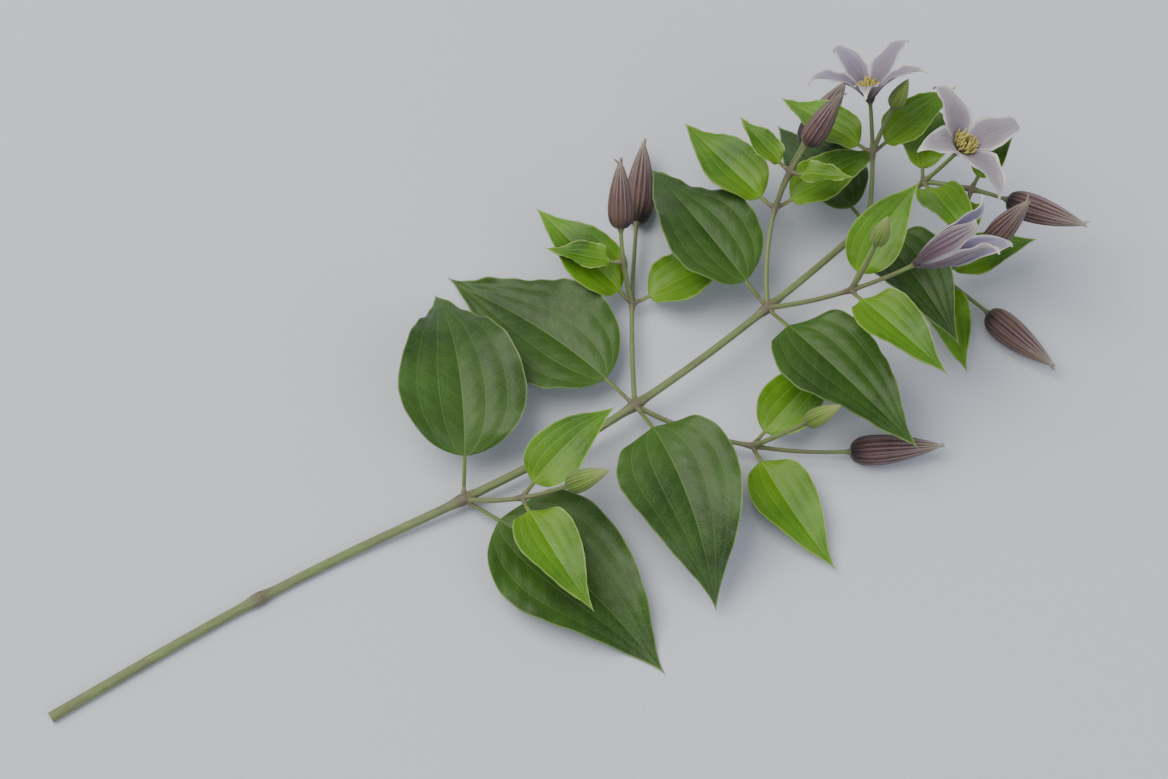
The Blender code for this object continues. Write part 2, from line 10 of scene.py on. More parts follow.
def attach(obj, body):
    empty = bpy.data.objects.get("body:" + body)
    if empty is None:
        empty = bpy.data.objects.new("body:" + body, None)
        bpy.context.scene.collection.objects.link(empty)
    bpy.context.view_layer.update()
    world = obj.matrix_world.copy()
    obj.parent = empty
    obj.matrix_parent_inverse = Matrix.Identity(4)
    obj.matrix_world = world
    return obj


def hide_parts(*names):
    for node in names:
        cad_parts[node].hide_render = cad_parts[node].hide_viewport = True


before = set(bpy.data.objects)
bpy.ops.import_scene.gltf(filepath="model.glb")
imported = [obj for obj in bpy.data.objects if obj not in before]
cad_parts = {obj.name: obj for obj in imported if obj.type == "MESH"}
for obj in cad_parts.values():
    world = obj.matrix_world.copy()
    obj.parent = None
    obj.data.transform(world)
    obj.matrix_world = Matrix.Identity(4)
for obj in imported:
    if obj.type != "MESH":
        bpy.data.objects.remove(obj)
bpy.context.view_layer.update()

# The stem: one fresh shoot of clematis, half woody, nearly five millimetres thick at the cut and three at its
# tip. Its olive skin has shallow grooves and a dull purple flush, strongest at the swollen joints. Flowering
# shoots leave it in pairs, and each ends in a small flared cup that carries a bud or a blossom.
STEM_ROUTE = (  # its middle line from the cut end to the tip, in metres like every size here
    (0.000, -0.052, 0.0020),
    (0.000, 0.030, 0.0020),
    (0.003, 0.090, 0.0024),
    (0.010, 0.150, 0.0060),
    (0.015, 0.210, 0.0105),
    (0.013, 0.270, 0.0150),
    (0.006, 0.330, 0.0190),
    (-0.003, 0.386, 0.0225),
)
ROUTE_STEPS = 52
CURVE_SAMPLES = 24
STEM_RADIUS = (0.0023, 0.0015)  # at the cut and at the tip
JOINTS = {1: 0.102, 2: 0.202, 3: 0.290, 4: 0.367, 5: 0.430}  # how far along the stem each one is
JOINT_SWELLING = 0.0010
JOINT_REACH = 0.0045
STEM_GROOVES = 7
GROOVE_DEPTH = 0.045
SHOOT_RADIUS = (0.0012, 0.0009)
SEAT_RADIUS = 0.0012
SEAT_REACH = 0.0022
SEAT_GAP = 0.0003
CUP_RADIUS = 0.0019
CUP_LENGTH = 0.0030
BRANCHING = 0.56  # how far up a shoot its young leaves and its side stalk grow
SOFTNESS = 0.0012  # how gently a leaf or stalk bends where it meets the surface
FAR_ABOVE = 20  # softnesses over the surface at which nothing feels it
FINE = 0.001  # one millimetre


class Shoot(NamedTuple):
    """A shoot from a joint. Heading, clockwise from +Y, and pitch above level are given at root and tip."""

    joint: int
    length: float
    heading: tuple
    pitch: tuple
    lowest: float = 0.0014


SHOOTS = {
    "right_2": Shoot(2, 0.054, (52, 28), (24, 34)),
    "right_3": Shoot(3, 0.100, (60, 30), (-10, 0), 0.0068),
    "left_3": Shoot(3, 0.100, (-60, -52), (-10, 1), 0.0068),
    "right_4": Shoot(4, 0.080, (48, 30), (34, 44)),
    "left_4": Shoot(4, 0.086, (-62, -26), (18, -2)),
    "right_5": Shoot(5, 0.070, (58, 78), (-24, -2), 0.0064),
    "left_5": Shoot(5, 0.060, (-46, -74), (32, 66)),
    "tip": Shoot(6, 0.056, (4, 26), (26, 66)),
    "side_right_3": Shoot("right_3", 0.032, (40, 24), (48, 40)),
    "side_left_3": Shoot("left_3", 0.036, (-80, -58), (50, 36)),
    "side_right_4": Shoot("right_4", 0.030, (-2, -14), (62, 70)),
    "side_left_4": Shoot("left_4", 0.034, (-30, -12), (52, 42)),
    "side_left_5": Shoot("left_5", 0.026, (-24, -14), (62, 58)),
    "side_tip": Shoot("tip", 0.040, (48, 60), (14, 6)),
    "side_right_5": Shoot("right_5", 0.034, (40, 20), (40, 62)),
}


def above_surface(height, lowest):
    """The height, eased so that it never falls below the lowest one."""
    over = (height - lowest) / SOFTNESS
    return height if over > FAR_ABOVE else lowest + SOFTNESS * math.log1p(math.exp(over))


class Spine:
    """A growing line whose heading, pitch and roll, in degrees, turn evenly from root to tip."""

    STEPS = 60

    def __init__(self, root, length, heading, pitch, roll=(0, 0), lowest=None):
        self.length, self.heading, self.pitch, self.roll = length, heading, pitch, roll
        self.points = [Vector(root)]
        for step in range(self.STEPS):
            ahead = self.forward((step + 0.5) / self.STEPS) * (length / self.STEPS)
            self.points.append(self.points[-1] + ahead)
        if lowest is not None:
            for point in self.points:
                point.z = above_surface(point.z, lowest)

    def turned(self, pair, share):
        return math.radians(pair[0] + (pair[1] - pair[0]) * share)

    def forward(self, share):
        heading, pitch = self.turned(self.heading, share), self.turned(self.pitch, share)
        level = math.cos(pitch)
        return Vector((math.sin(heading) * level, math.cos(heading) * level, math.sin(pitch)))

    def place(self, share):
        step = min(max(share, 0.0), 1.0) * self.STEPS
        low = min(int(step), self.STEPS - 1)
        return self.points[low].lerp(self.points[low + 1], step - low)

    def frame(self, share):
        """The point, and the right, up and forward directions there."""
        ahead = self.forward(share)
        right = ahead.cross(Vector((0, 0, 1))).normalized()
        right.rotate(Matrix.Rotation(self.turned(self.roll, share), 3, ahead))
        return self.place(share), right, right.cross(ahead), ahead


def smooth_route(points, steps):
    """A smooth line through the points, as evenly stepped points, and its length."""
    ends = [2 * points[0] - points[1], *points, 2 * points[-1] - points[-2]]
    line = []
    for index in range(1, len(ends) - 2):
        before, start, end, after = ends[index - 1 : index + 3]
        for step in range(CURVE_SAMPLES):
            t = step / CURVE_SAMPLES
            bend = (2 * before - 5 * start + 4 * end - after) * t * t
            twist = (3 * start - before - 3 * end + after) * t * t * t
            line.append(0.5 * (2 * start + (end - before) * t + bend + twist))
    line.append(points[-1])
    lengths = [0.0]
    for start, end in zip(line, line[1:]):
        lengths.append(lengths[-1] + (end - start).length)
    route, index = [], 0
    for step in range(steps + 1):
        wanted = lengths[-1] * step / steps
        while index < len(line) - 2 and lengths[index + 1] < wanted:
            index += 1
        share = (wanted - lengths[index]) / (lengths[index + 1] - lengths[index])
        route.append(line[index].lerp(line[index + 1], share))
    return route, lengths[-1]


route, stem_length = smooth_route([Vector(point) for point in STEM_ROUTE], ROUTE_STEPS)


def on_stem(distance):
    """The point at this distance along the stem."""
    step = distance / stem_length * ROUTE_STEPS
    low = min(int(step), ROUTE_STEPS - 1)
    return route[low].lerp(route[low + 1], step - low)


def joint_share(distance):
    """How far into a swollen joint this place on the stem is, from 0 to 1."""
    return max(math.exp(-(((distance - joint) / JOINT_REACH) ** 2)) for joint in JOINTS.values())


def stem_radius(distance):
    """Half the thickness of the stem at this distance along it."""
    base = STEM_RADIUS[0] + (STEM_RADIUS[1] - STEM_RADIUS[0]) * distance / stem_length
    return base + JOINT_SWELLING * joint_share(distance)


def sprout():
    """An empty mesh for growth, whose points hold their grain and how flushed they are."""
    bm = bmesh.new()
    bm.verts.layers.float_vector.new("grain")
    bm.verts.layers.float.new("flush")
    return bm


def grow(bm, points, radii, sides, flush, grooves=0, depth=0.0):
    """Grows a round bar: a disc, extruded from point to point. Its grain holds the way round and along it."""
    grain = bm.verts.layers.float_vector["grain"]
    flushed = bm.verts.layers.float["flush"]
    ahead = (points[1] - points[0]).normalized()
    right = ahead.orthogonal().normalized()
    disc = bmesh.ops.create_circle(bm, cap_ends=True, segments=sides, radius=1.0)
    ring = disc["verts"]
    cap = ring[0].link_faces[0]
    along = 0.0
    for index, (point, radius) in enumerate(zip(points, radii)):
        if index:
            along += (point - points[index - 1]).length
            grown = bmesh.ops.extrude_face_region(bm, geom=[cap])["geom"]
            cap = next(item for item in grown if isinstance(item, bmesh.types.BMFace))
            ring = [loop.vert for loop in cap.loops]
            following = points[min(index + 1, len(points) - 1)] - points[index - 1]
            ahead = following.normalized()
            right = (right - ahead * right.dot(ahead)).normalized()
        up = ahead.cross(right)
        for vertex in ring:
            if index == 0:
                turn = math.atan2(vertex.co.y, vertex.co.x)
            else:
                turn = math.atan2(vertex[grain].y, vertex[grain].x)
            reach = radius * (1 + depth * math.cos(grooves * turn))
            vertex[grain] = (math.cos(turn), math.sin(turn), along / FINE)
            vertex[flushed] = flush[index]
            vertex.co = point + right * (math.cos(turn) * reach) + up * (math.sin(turn) * reach)


def linear(code):
    """An sRGB hex colour as the linear one that shaders take."""
    shares = [int(code[place : place + 2], 16) / 255 for place in (1, 3, 5)]
    return (*(part / 12.92 if part <= 0.04045 else ((part + 0.055) / 1.055) ** 2.4 for part in shares), 1.0)


def add(tree, kind, inputs=None, stops=None, out=0, **settings):
    """Adds a node and gives back one output, or all. An input takes a value, a hex colour or an output."""
    node = tree.nodes.new("ShaderNode" + kind)
    for name, value in settings.items():
        setattr(node, name, value)
    for name, value in (inputs or {}).items():
        if isinstance(value, bpy.types.NodeSocket):
            tree.links.new(value, node.inputs[name])
        else:
            node.inputs[name].default_value = linear(value) if isinstance(value, str) else value
    if stops:
        ramp = node.color_ramp
        while len(ramp.elements) < len(stops):
            ramp.elements.new(1.0)
        for element, (position, colour) in zip(ramp.elements, stops):
            element.position = position
            element.color = linear(colour) if isinstance(colour, str) else (colour, colour, colour, 1.0)
    return node.outputs if out is None else node.outputs[out]


def new_material(name, **values):
    """A material, its node tree and its shader, which takes the values that are the same all over."""
    made = bpy.data.materials.new(name)
    made.use_nodes = True
    shader = made.node_tree.nodes["Principled BSDF"]
    for socket, value in values.items():
        shader.inputs[socket.replace("_", " ")].default_value = value
    return made, made.node_tree, shader


def coat(tree, shader, colour, bump):
    """Gives the shader its colour and its fine relief."""
    tree.links.new(colour, shader.inputs["Base Color"])
    tree.links.new(bump, shader.inputs["Normal"])


CREASE = 55  # degrees past which an edge stays sharp


def finished(bm, name, material, nodes):
    """The mesh as a piece that rides on the plant, stands for its solids and takes the given material."""
    bmesh.ops.recalc_face_normals(bm, faces=bm.faces)
    mesh = bpy.data.meshes.new(name)
    bm.to_mesh(mesh)
    bm.free()
    mesh.materials.append(material)
    mesh.shade_smooth()
    mesh.set_sharp_from_angle(angle=math.radians(CREASE))
    piece = bpy.data.objects.new(name, mesh)
    bpy.context.scene.collection.objects.link(piece)
    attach(piece, "root")
    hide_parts(*nodes)


STEM_RINGS = 150
STEM_SIDES = 28
# The knife left a clean cut, a hair from flat: pale pith in the middle, a ring of wood and a rim of skin.
# Each ring there has its share of the radius and, for the cut's colours, a flush below zero.
CUT_RINGS = ((0.30, -1.0), (0.52, -0.8), (0.86, -0.6), (0.96, -0.35))
CUT_SWELL = 0.00003
distances = [CUT_SWELL * step for step in range(len(CUT_RINGS))]
distances += [stem_length * step / STEM_RINGS + CUT_SWELL * len(CUT_RINGS) for step in range(STEM_RINGS)]
distances.append(stem_length)
radii = [stem_radius(distance) for distance in distances]
flush = [joint_share(distance) for distance in distances]
for index, (share, cut_flush) in enumerate(CUT_RINGS):
    radii[index] *= share
    flush[index] = cut_flush
bm = sprout()
grow(bm, [on_stem(distance) for distance in distances], radii, STEM_SIDES, flush, STEM_GROOVES, GROOVE_DEPTH)
for vertex in bm.verts:
    vertex.co.z = max(vertex.co.z, 0.0)

spines = {}
for name, shoot in SHOOTS.items():
    if shoot.joint in JOINTS:
        root = on_stem(JOINTS[shoot.joint])
    elif shoot.joint in spines:
        root = spines[shoot.joint].place(BRANCHING)
    else:
        root = route[-2]
    spines[name] = Spine(root, shoot.length, shoot.heading, shoot.pitch, lowest=shoot.lowest)

SHOOT_RINGS = 30
SHOOT_SIDES = 16
SHOOT_GROOVES = 5
SHOOT_GROOVE_DEPTH = 0.04
CUP_RINGS = (0.75, 0.5, 0.28, 0.12, 0.0)  # how far below its face each of a cup's rings lies
CUP_FLARE = 1.6
CUP_FLUSH = 0.5
LEAFY_SHOOTS = (
    "right_2", "right_3", "left_3", "right_4", "left_4", "right_5", "left_5", "tip",
    "side_left_3", "side_left_4", "side_tip",
)
BRANCH_SWELLING = 0.0006
BRANCH_REACH = 0.0030
ROOT_SWELLING = 0.0005
ROOT_REACH = 0.0022
ROOT_FLUSH = 0.7
for name, spine in spines.items():
    branches = name in LEAFY_SHOOTS
    cup = CUP_LENGTH / spine.length
    shares = [step / SHOOT_RINGS * (1 - cup) for step in range(SHOOT_RINGS + 1)]
    shares += [1 - cup * rest for rest in CUP_RINGS]
    radii, flush = [], []
    for share in shares:
        radius = SHOOT_RADIUS[0] + (SHOOT_RADIUS[1] - SHOOT_RADIUS[0]) * min(share, 1 - cup)
        knot = math.exp(-(((share - BRANCHING) * spine.length / BRANCH_REACH) ** 2)) if branches else 0.0
        flare = max(0.0, 1 - (1 - share) / cup)
        root_flare = math.exp(-share * spine.length / ROOT_REACH)
        radius = radius + BRANCH_SWELLING * knot + (CUP_RADIUS - radius) * flare**CUP_FLARE
        radii.append(radius + ROOT_SWELLING * root_flare)
        flush.append(max(knot, ROOT_FLUSH * root_flare, CUP_FLUSH * flare))
    points = [spine.place(share) for share in shares]
    grow(bm, points, radii, SHOOT_SIDES, flush, SHOOT_GROOVES, SHOOT_GROOVE_DEPTH)


class Leaf(NamedTuple):
    """A leaf on a joint of the stem, or part of the way up a shoot."""

    on: object
    length: float
    width: float
    heading: tuple
    pitch: tuple
    roll: tuple = (0, 0)
    stalk: float = 0.014
    fold: float = 13.0
    wave: tuple = (0.0012, 2.0, 0.0)


LARGE_LEAVES = {
    "right_2": Leaf(2, 0.102, 0.058, (66, 86), (6, -16), (-4, 4), wave=(0.0030, 1.6, 0.6)),
    "left_2": Leaf(2, 0.098, 0.056, (-54, -78), (34, -42), (10, 2), wave=(0.0026, 2.0, 0.0)),
    "right_3": Leaf(3, 0.092, 0.052, (96, 112), (30, -40), (6, -4), wave=(0.0026, 1.8, 1.2)),
    "left_3": Leaf(3, 0.096, 0.054, (-100, -114), (2, -20), (4, -8), wave=(0.0028, 2.1, 2.0)),
    "right_4": Leaf(4, 0.084, 0.046, (88, 76), (22, -18), (-10, -8), stalk=0.011, wave=(0.0024, 1.7, 0.4)),
    "left_4": Leaf(4, 0.082, 0.045, (-98, -82), (22, -32), (8, 14), stalk=0.011, wave=(0.0024, 1.9, 1.6)),
    "right_5": Leaf(5, 0.070, 0.036, (98, 92), (34, -22), (-10, -6), stalk=0.008, fold=16),
    "left_5": Leaf(5, 0.068, 0.035, (-88, -84), (-6, -26), (6, 8), stalk=0.008, fold=16),
}
YOUNG_LEAVES = {
    "right_2a": Leaf("right_2", 0.056, 0.026, (100, 86), (20, -18), (-8, -6), stalk=0.005, fold=16),
    "right_2b": Leaf("right_2", 0.050, 0.023, (-14, -4), (36, -8), (10, 6), stalk=0.005, fold=16),
    "right_3a": Leaf("right_3", 0.060, 0.028, (98, 86), (2, -8), (-4, -2), stalk=0.005, fold=16),
    "right_3b": Leaf("right_3", 0.054, 0.025, (-16, -10), (14, -4), (8, 6), stalk=0.005, fold=16),
    "left_3a": Leaf("left_3", 0.056, 0.027, (-112, -96), (38, -10), (5, 3), stalk=0.005, fold=16),
    "left_3b": Leaf("left_3", 0.054, 0.025, (10, -4), (12, -2), (-8, -4), stalk=0.005, fold=16),
    "right_4a": Leaf("right_4", 0.054, 0.026, (90, 74), (26, -16), (-8, -4), stalk=0.005, fold=18),
    "right_4b": Leaf("right_4", 0.050, 0.023, (-30, -14), (32, 4), (10, 4), stalk=0.005, fold=18),
    "left_4a": Leaf("left_4", 0.056, 0.027, (-104, -88), (10, -18), (6, 4), stalk=0.005, fold=18),
    "left_4b": Leaf("left_4", 0.050, 0.023, (8, -4), (20, -10), (-8, -4), stalk=0.005, fold=18),
    "right_5a": Leaf("right_5", 0.044, 0.020, (116, 104), (2, -8), (-6, -4), stalk=0.004, fold=18),
    "right_5b": Leaf("right_5", 0.042, 0.019, (12, 18), (16, -6), (6, 4), stalk=0.004, fold=18),
    "left_5a": Leaf("left_5", 0.046, 0.021, (-112, -100), (6, -22), (6, 4), stalk=0.004, fold=18),
    "left_5b": Leaf("left_5", 0.042, 0.019, (0, -6), (26, 2), (-6, -4), stalk=0.004, fold=18),
    "tip_a": Leaf("tip", 0.048, 0.022, (-56, -40), (4, -20), (8, 4), stalk=0.004, fold=18),
    "tip_b": Leaf("tip", 0.046, 0.021, (106, 92), (38, -4), (-8, -4), stalk=0.004, fold=18),
    "side_left_3a": Leaf("side_left_3", 0.030, 0.013, (-150, -134), (22, 2), (4, 2), stalk=0.003, fold=20),
    "side_left_4a": Leaf("side_left_4", 0.028, 0.012, (-108, -92), (24, 6), (4, 2), stalk=0.003, fold=20),
    "side_left_4b": Leaf("side_left_4", 0.026, 0.011, (64, 48), (34, 16), (-6, -2), stalk=0.003, fold=20),
    "side_tip_a": Leaf("side_tip", 0.030, 0.013, (-26, -10), (26, 10), (4, 2), stalk=0.003, fold=20),
    "side_tip_b": Leaf("side_tip", 0.028, 0.012, (138, 120), (10, -6), (-6, -2), stalk=0.003, fold=20),
}

# Each leaf's seat is a short stub of the same growth that narrows and dips into the leaf's stalk.
SEAT_DIP = 0.0008
SEAT_STEPS = 8
SEAT_SIDES = 14
SEAT_SWELL, SEAT_NARROWING = 1.12, 0.40  # shares of its radius at its root, and lost at its end
SEAT_FLUSH, SEAT_FADING = 0.85, 0.75
leaf_starts = {}
for name, leaf in {**LARGE_LEAVES, **YOUNG_LEAVES}.items():
    if leaf.on in JOINTS:
        middle, radius = on_stem(JOINTS[leaf.on]), stem_radius(JOINTS[leaf.on])
    else:
        middle, radius = spines[leaf.on].place(BRANCHING), SHOOT_RADIUS[0]
    _, _, up, ahead = Spine(middle, leaf.length, leaf.heading, leaf.pitch, leaf.roll).frame(0.0)
    seat = radius + SEAT_REACH
    leaf_starts[name] = middle + ahead * (seat + SEAT_GAP)
    shares = [step / SEAT_STEPS for step in range(SEAT_STEPS + 1)]
    grow(
        bm,
        [middle + ahead * (seat + 2 * SEAT_GAP) * share - up * SEAT_DIP * share**2 for share in shares],
        [SEAT_RADIUS * (SEAT_SWELL - SEAT_NARROWING * share**2) for share in shares],
        SEAT_SIDES,
        [SEAT_FLUSH - SEAT_FADING * share**2 for share in shares],
    )

# Living stem skin is waxy, so it has a satin gleam with a trace of down over it.
stem_skin, tree, shader = new_material("fresh_olive_stem_skin", Roughness=0.46, Sheen_Weight=0.12)
grain = add(tree, "Attribute", out="Vector", attribute_name="grain")
flush = add(tree, "Attribute", out="Fac", attribute_name="flush")
place = add(tree, "TexCoord", out="Object")
# Fibres run along the skin, so their pattern is drawn out about thirty times along the grain.
FIBRE_STRETCH = (3.6, 3.6, 0.06)
fibre_way = add(tree, "VectorMath", {0: grain, 1: FIBRE_STRETCH}, operation="MULTIPLY")
fibres = add(tree, "TexNoise", {"Vector": fibre_way, "Scale": 3.0, "Detail": 4.0, "Roughness": 0.6})
patches = add(tree, "TexNoise", {"Vector": place, "Scale": 45.0, "Detail": 3.0})
skin = add(tree, "ValToRGB", {"Fac": fibres}, [(0.30, "#516235"), (0.50, "#6f7f46"), (0.72, "#8b985c")])
tinted = add(tree, "MapRange", {"Value": patches, "From Min": 0.42, "From Max": 0.68, "To Max": 0.55})
purple = add(tree, "Math", {0: tinted, 1: flush}, operation="ADD", use_clamp=True)
purple = add(tree, "Math", {0: purple, 1: 0.62}, operation="MULTIPLY")
skin = add(tree, "Mix", {0: purple, 6: skin, 7: "#5c3f45"}, out=2, data_type="RGBA")
layers = add(tree, "MapRange", {"Value": flush, "From Min": -1.0, "From Max": -0.3})
wood = add(
    tree,
    "ValToRGB",
    {"Fac": layers},
    [(0.00, "#b9bb92"), (0.22, "#a3a873"), (0.34, "#c2c392"), (0.62, "#a9b070"), (0.90, "#5d6f33")],
)
cut = add(tree, "MapRange", {"Value": flush, "From Min": -0.05, "From Max": -0.30})
skin = add(tree, "Mix", {0: cut, 6: skin, 7: wood}, out=2, data_type="RGBA")
bump = add(tree, "Bump", {"Height": fibres, "Strength": 0.6, "Distance": 0.00025})
coat(tree, shader, skin, bump)
finished(bm, "grown_stem", stem_skin, ["stem"])

# The large leaves: egg-shaped blades with a long drawn-out point and an untoothed, slightly waved edge. Five
# veins rise together from the stalk and arch to the tip, with fine cross veins between them, so the blade is
# quilted: sunken over the veins on its satin upper face, and ribbed on its paler underside.
LARGE_GRID = (44, 92, 12)  # steps across and along, and how many of those are the stalk's
LARGE_QUILTING = 0.55 * FINE
LEAF_STALK_WIDTH = 0.0018
LEAF_STALK_DEPTH = 0.0016
LEAF_THICKNESS = 0.00050
LEAF_FULLNESS, LEAF_TAPER = 0.66, 1.50
COLUMN_CROWDING = 1.25
TIP_NARROWING = 0.7
POINT, POINT_NARROWING = 0.1, 0.75  # the share of the blade that is its point, and what it loses
THIN_END, END_THINNING = 0.15, 0.5  # the share of the blade that thins, and how much of it is lost
RUFFLE_SHARE, RUFFLE_RATE = 0.22, 4.3  # of the height and the rate of the edge's long waves
VEINS = (0.0, 0.36, 0.70)  # how far out from the midrib to the edge each vein runs
VEIN_NARROWING = (1.0, 1.5, 1.9)
VEIN_WIDTH, VEIN_HEIGHT, VEIN_SINKING = 0.9 * FINE, 0.28 * FINE, 0.35
CROSS_VEIN_GAP = 8.0 * FINE
CROSS_VEIN_SLANT = 0.9
PILLOW_WIDTH, CROSS_QUILTING = 3.5 * FINE, 0.45
MIDRIB_WIDTH = 0.85 * FINE
MIDRIB_AT_ROOT, MIDRIB_AT_TIP = 1.05, 0.15  # millimetres under the blade, the first fading along it


def outline(share, fullness, taper):
    """Half the width of a pointed egg-shaped blade, as a share of its widest, from base to tip."""
    widest = fullness / (fullness + taper)
    return (share**fullness * (1 - share) ** taper) / (widest**fullness * (1 - widest) ** taper)


def eased(value):
    """Turns 0 to 1 smoothly, and holds there."""
    value = min(max(value, 0.0), 1.0)
    return value * value * (3 - 2 * value)


def leaf_mesh(leaf, start, grid, quilting):
    """A blade and stalk from one grid, closed by an underside. Points hold their place in shares and mm."""
    across, along, stalk_rows = grid
    total = leaf.length + leaf.stalk
    spine = Spine(start, total, leaf.heading, leaf.pitch, leaf.roll)
    rows = []
    for row in range(along + 1):
        opened = max(0.0, (row - stalk_rows) / (along - stalk_rows))
        opened = (1 - math.cos(math.pi * opened)) / 2
        reached = leaf.stalk * min(row / stalk_rows, 1.0) + leaf.length * opened
        rows.append((opened, reached, spine.frame(reached / total)))
    bm = bmesh.new()
    bmesh.ops.create_grid(bm, x_segments=across, y_segments=along, size=1.0)
    blade = bm.verts.layers.float_vector.new("blade")
    real = bm.verts.layers.float_vector.new("real")
    for vertex in bm.verts:
        crowded = math.copysign(abs(vertex.co.x) ** COLUMN_CROWDING, vertex.co.x)
        vertex[blade] = (crowded, (vertex.co.y + 1) / 2, 0.0)
    lower = bmesh.ops.extrude_face_region(bm, geom=bm.faces[:], use_keep_orig=True)["geom"]
    under = {item for item in lower if isinstance(item, bmesh.types.BMVert)}
    wave, count, phase = leaf.wave
    # Every eased share lets a feature come in from the base, or fade towards the edge or the tip.
    for vertex in bm.verts:
        u, v, _ = vertex[blade]
        opened, reached, (middle, right, up, _) = rows[round(v * along)]
        half = leaf.width / 2 * outline(opened, LEAF_FULLNESS, LEAF_TAPER)
        pointed = 1 - POINT_NARROWING * eased((opened - (1 - POINT)) / POINT)
        half += LEAF_STALK_WIDTH / 2 * (1 - TIP_NARROWING * opened) * pointed
        spread = u * half
        turn = 2 * math.pi * count * opened + phase + (u > 0)
        edge = wave * math.sin(turn) * u * u * eased((1 - opened) * 4)
        ruffle = RUFFLE_SHARE * wave * math.sin(RUFFLE_RATE * turn) * abs(u) ** 5
        edge += ruffle * eased(opened * 6) * eased((1 - opened) * 6)
        lifted = abs(spread) * math.tan(math.radians(leaf.fold)) + edge
        near = min(abs(abs(u) - vein) for vein in VEINS) * half
        sunken = math.exp(-((near / VEIN_WIDTH) ** 2))
        cross = math.cos(2 * math.pi * (reached - CROSS_VEIN_SLANT * abs(spread)) / CROSS_VEIN_GAP)
        pillow = (1 - math.exp(-((near / PILLOW_WIDTH) ** 2))) * (1 + CROSS_QUILTING * cross)
        swell = quilting * (pillow - VEIN_SINKING * sunken)
        swell *= eased((1 - abs(u)) * 5) * eased(opened * 8) * eased((1 - opened) * 5)
        midrib = (MIDRIB_AT_ROOT * (1 - opened) ** 0.8 + MIDRIB_AT_TIP) * FINE
        midrib *= math.exp(-((spread / MIDRIB_WIDTH) ** 2))
        rib = max(midrib, VEIN_HEIGHT * sunken * (1 - opened))
        roundness = math.sqrt(max(0.0, 1 - u * u))
        thin = LEAF_THICKNESS * (1 - END_THINNING * eased((opened - (1 - THIN_END)) / THIN_END))
        opening = eased(opened * 9)
        if vertex in under:
            depth = (1 + roundness) * LEAF_STALK_DEPTH / 2
            depth += (thin + rib - (lifted + swell) - depth) * opening
            height, lowest = -depth, 0.0
        else:
            depth = (1 - roundness) * LEAF_STALK_DEPTH / 2
            height = -depth + (lifted + swell + depth) * opening
            lowest = LEAF_STALK_DEPTH * roundness + (thin + rib - LEAF_STALK_DEPTH * roundness) * opening
        point = middle + right * spread + up * height
        point.z = above_surface(point.z, lowest)
        vertex.co = point
        vertex[blade] = (u, opened, float(vertex in under))
        vertex[real] = (spread / FINE, reached / FINE, half / FINE)
    return bm


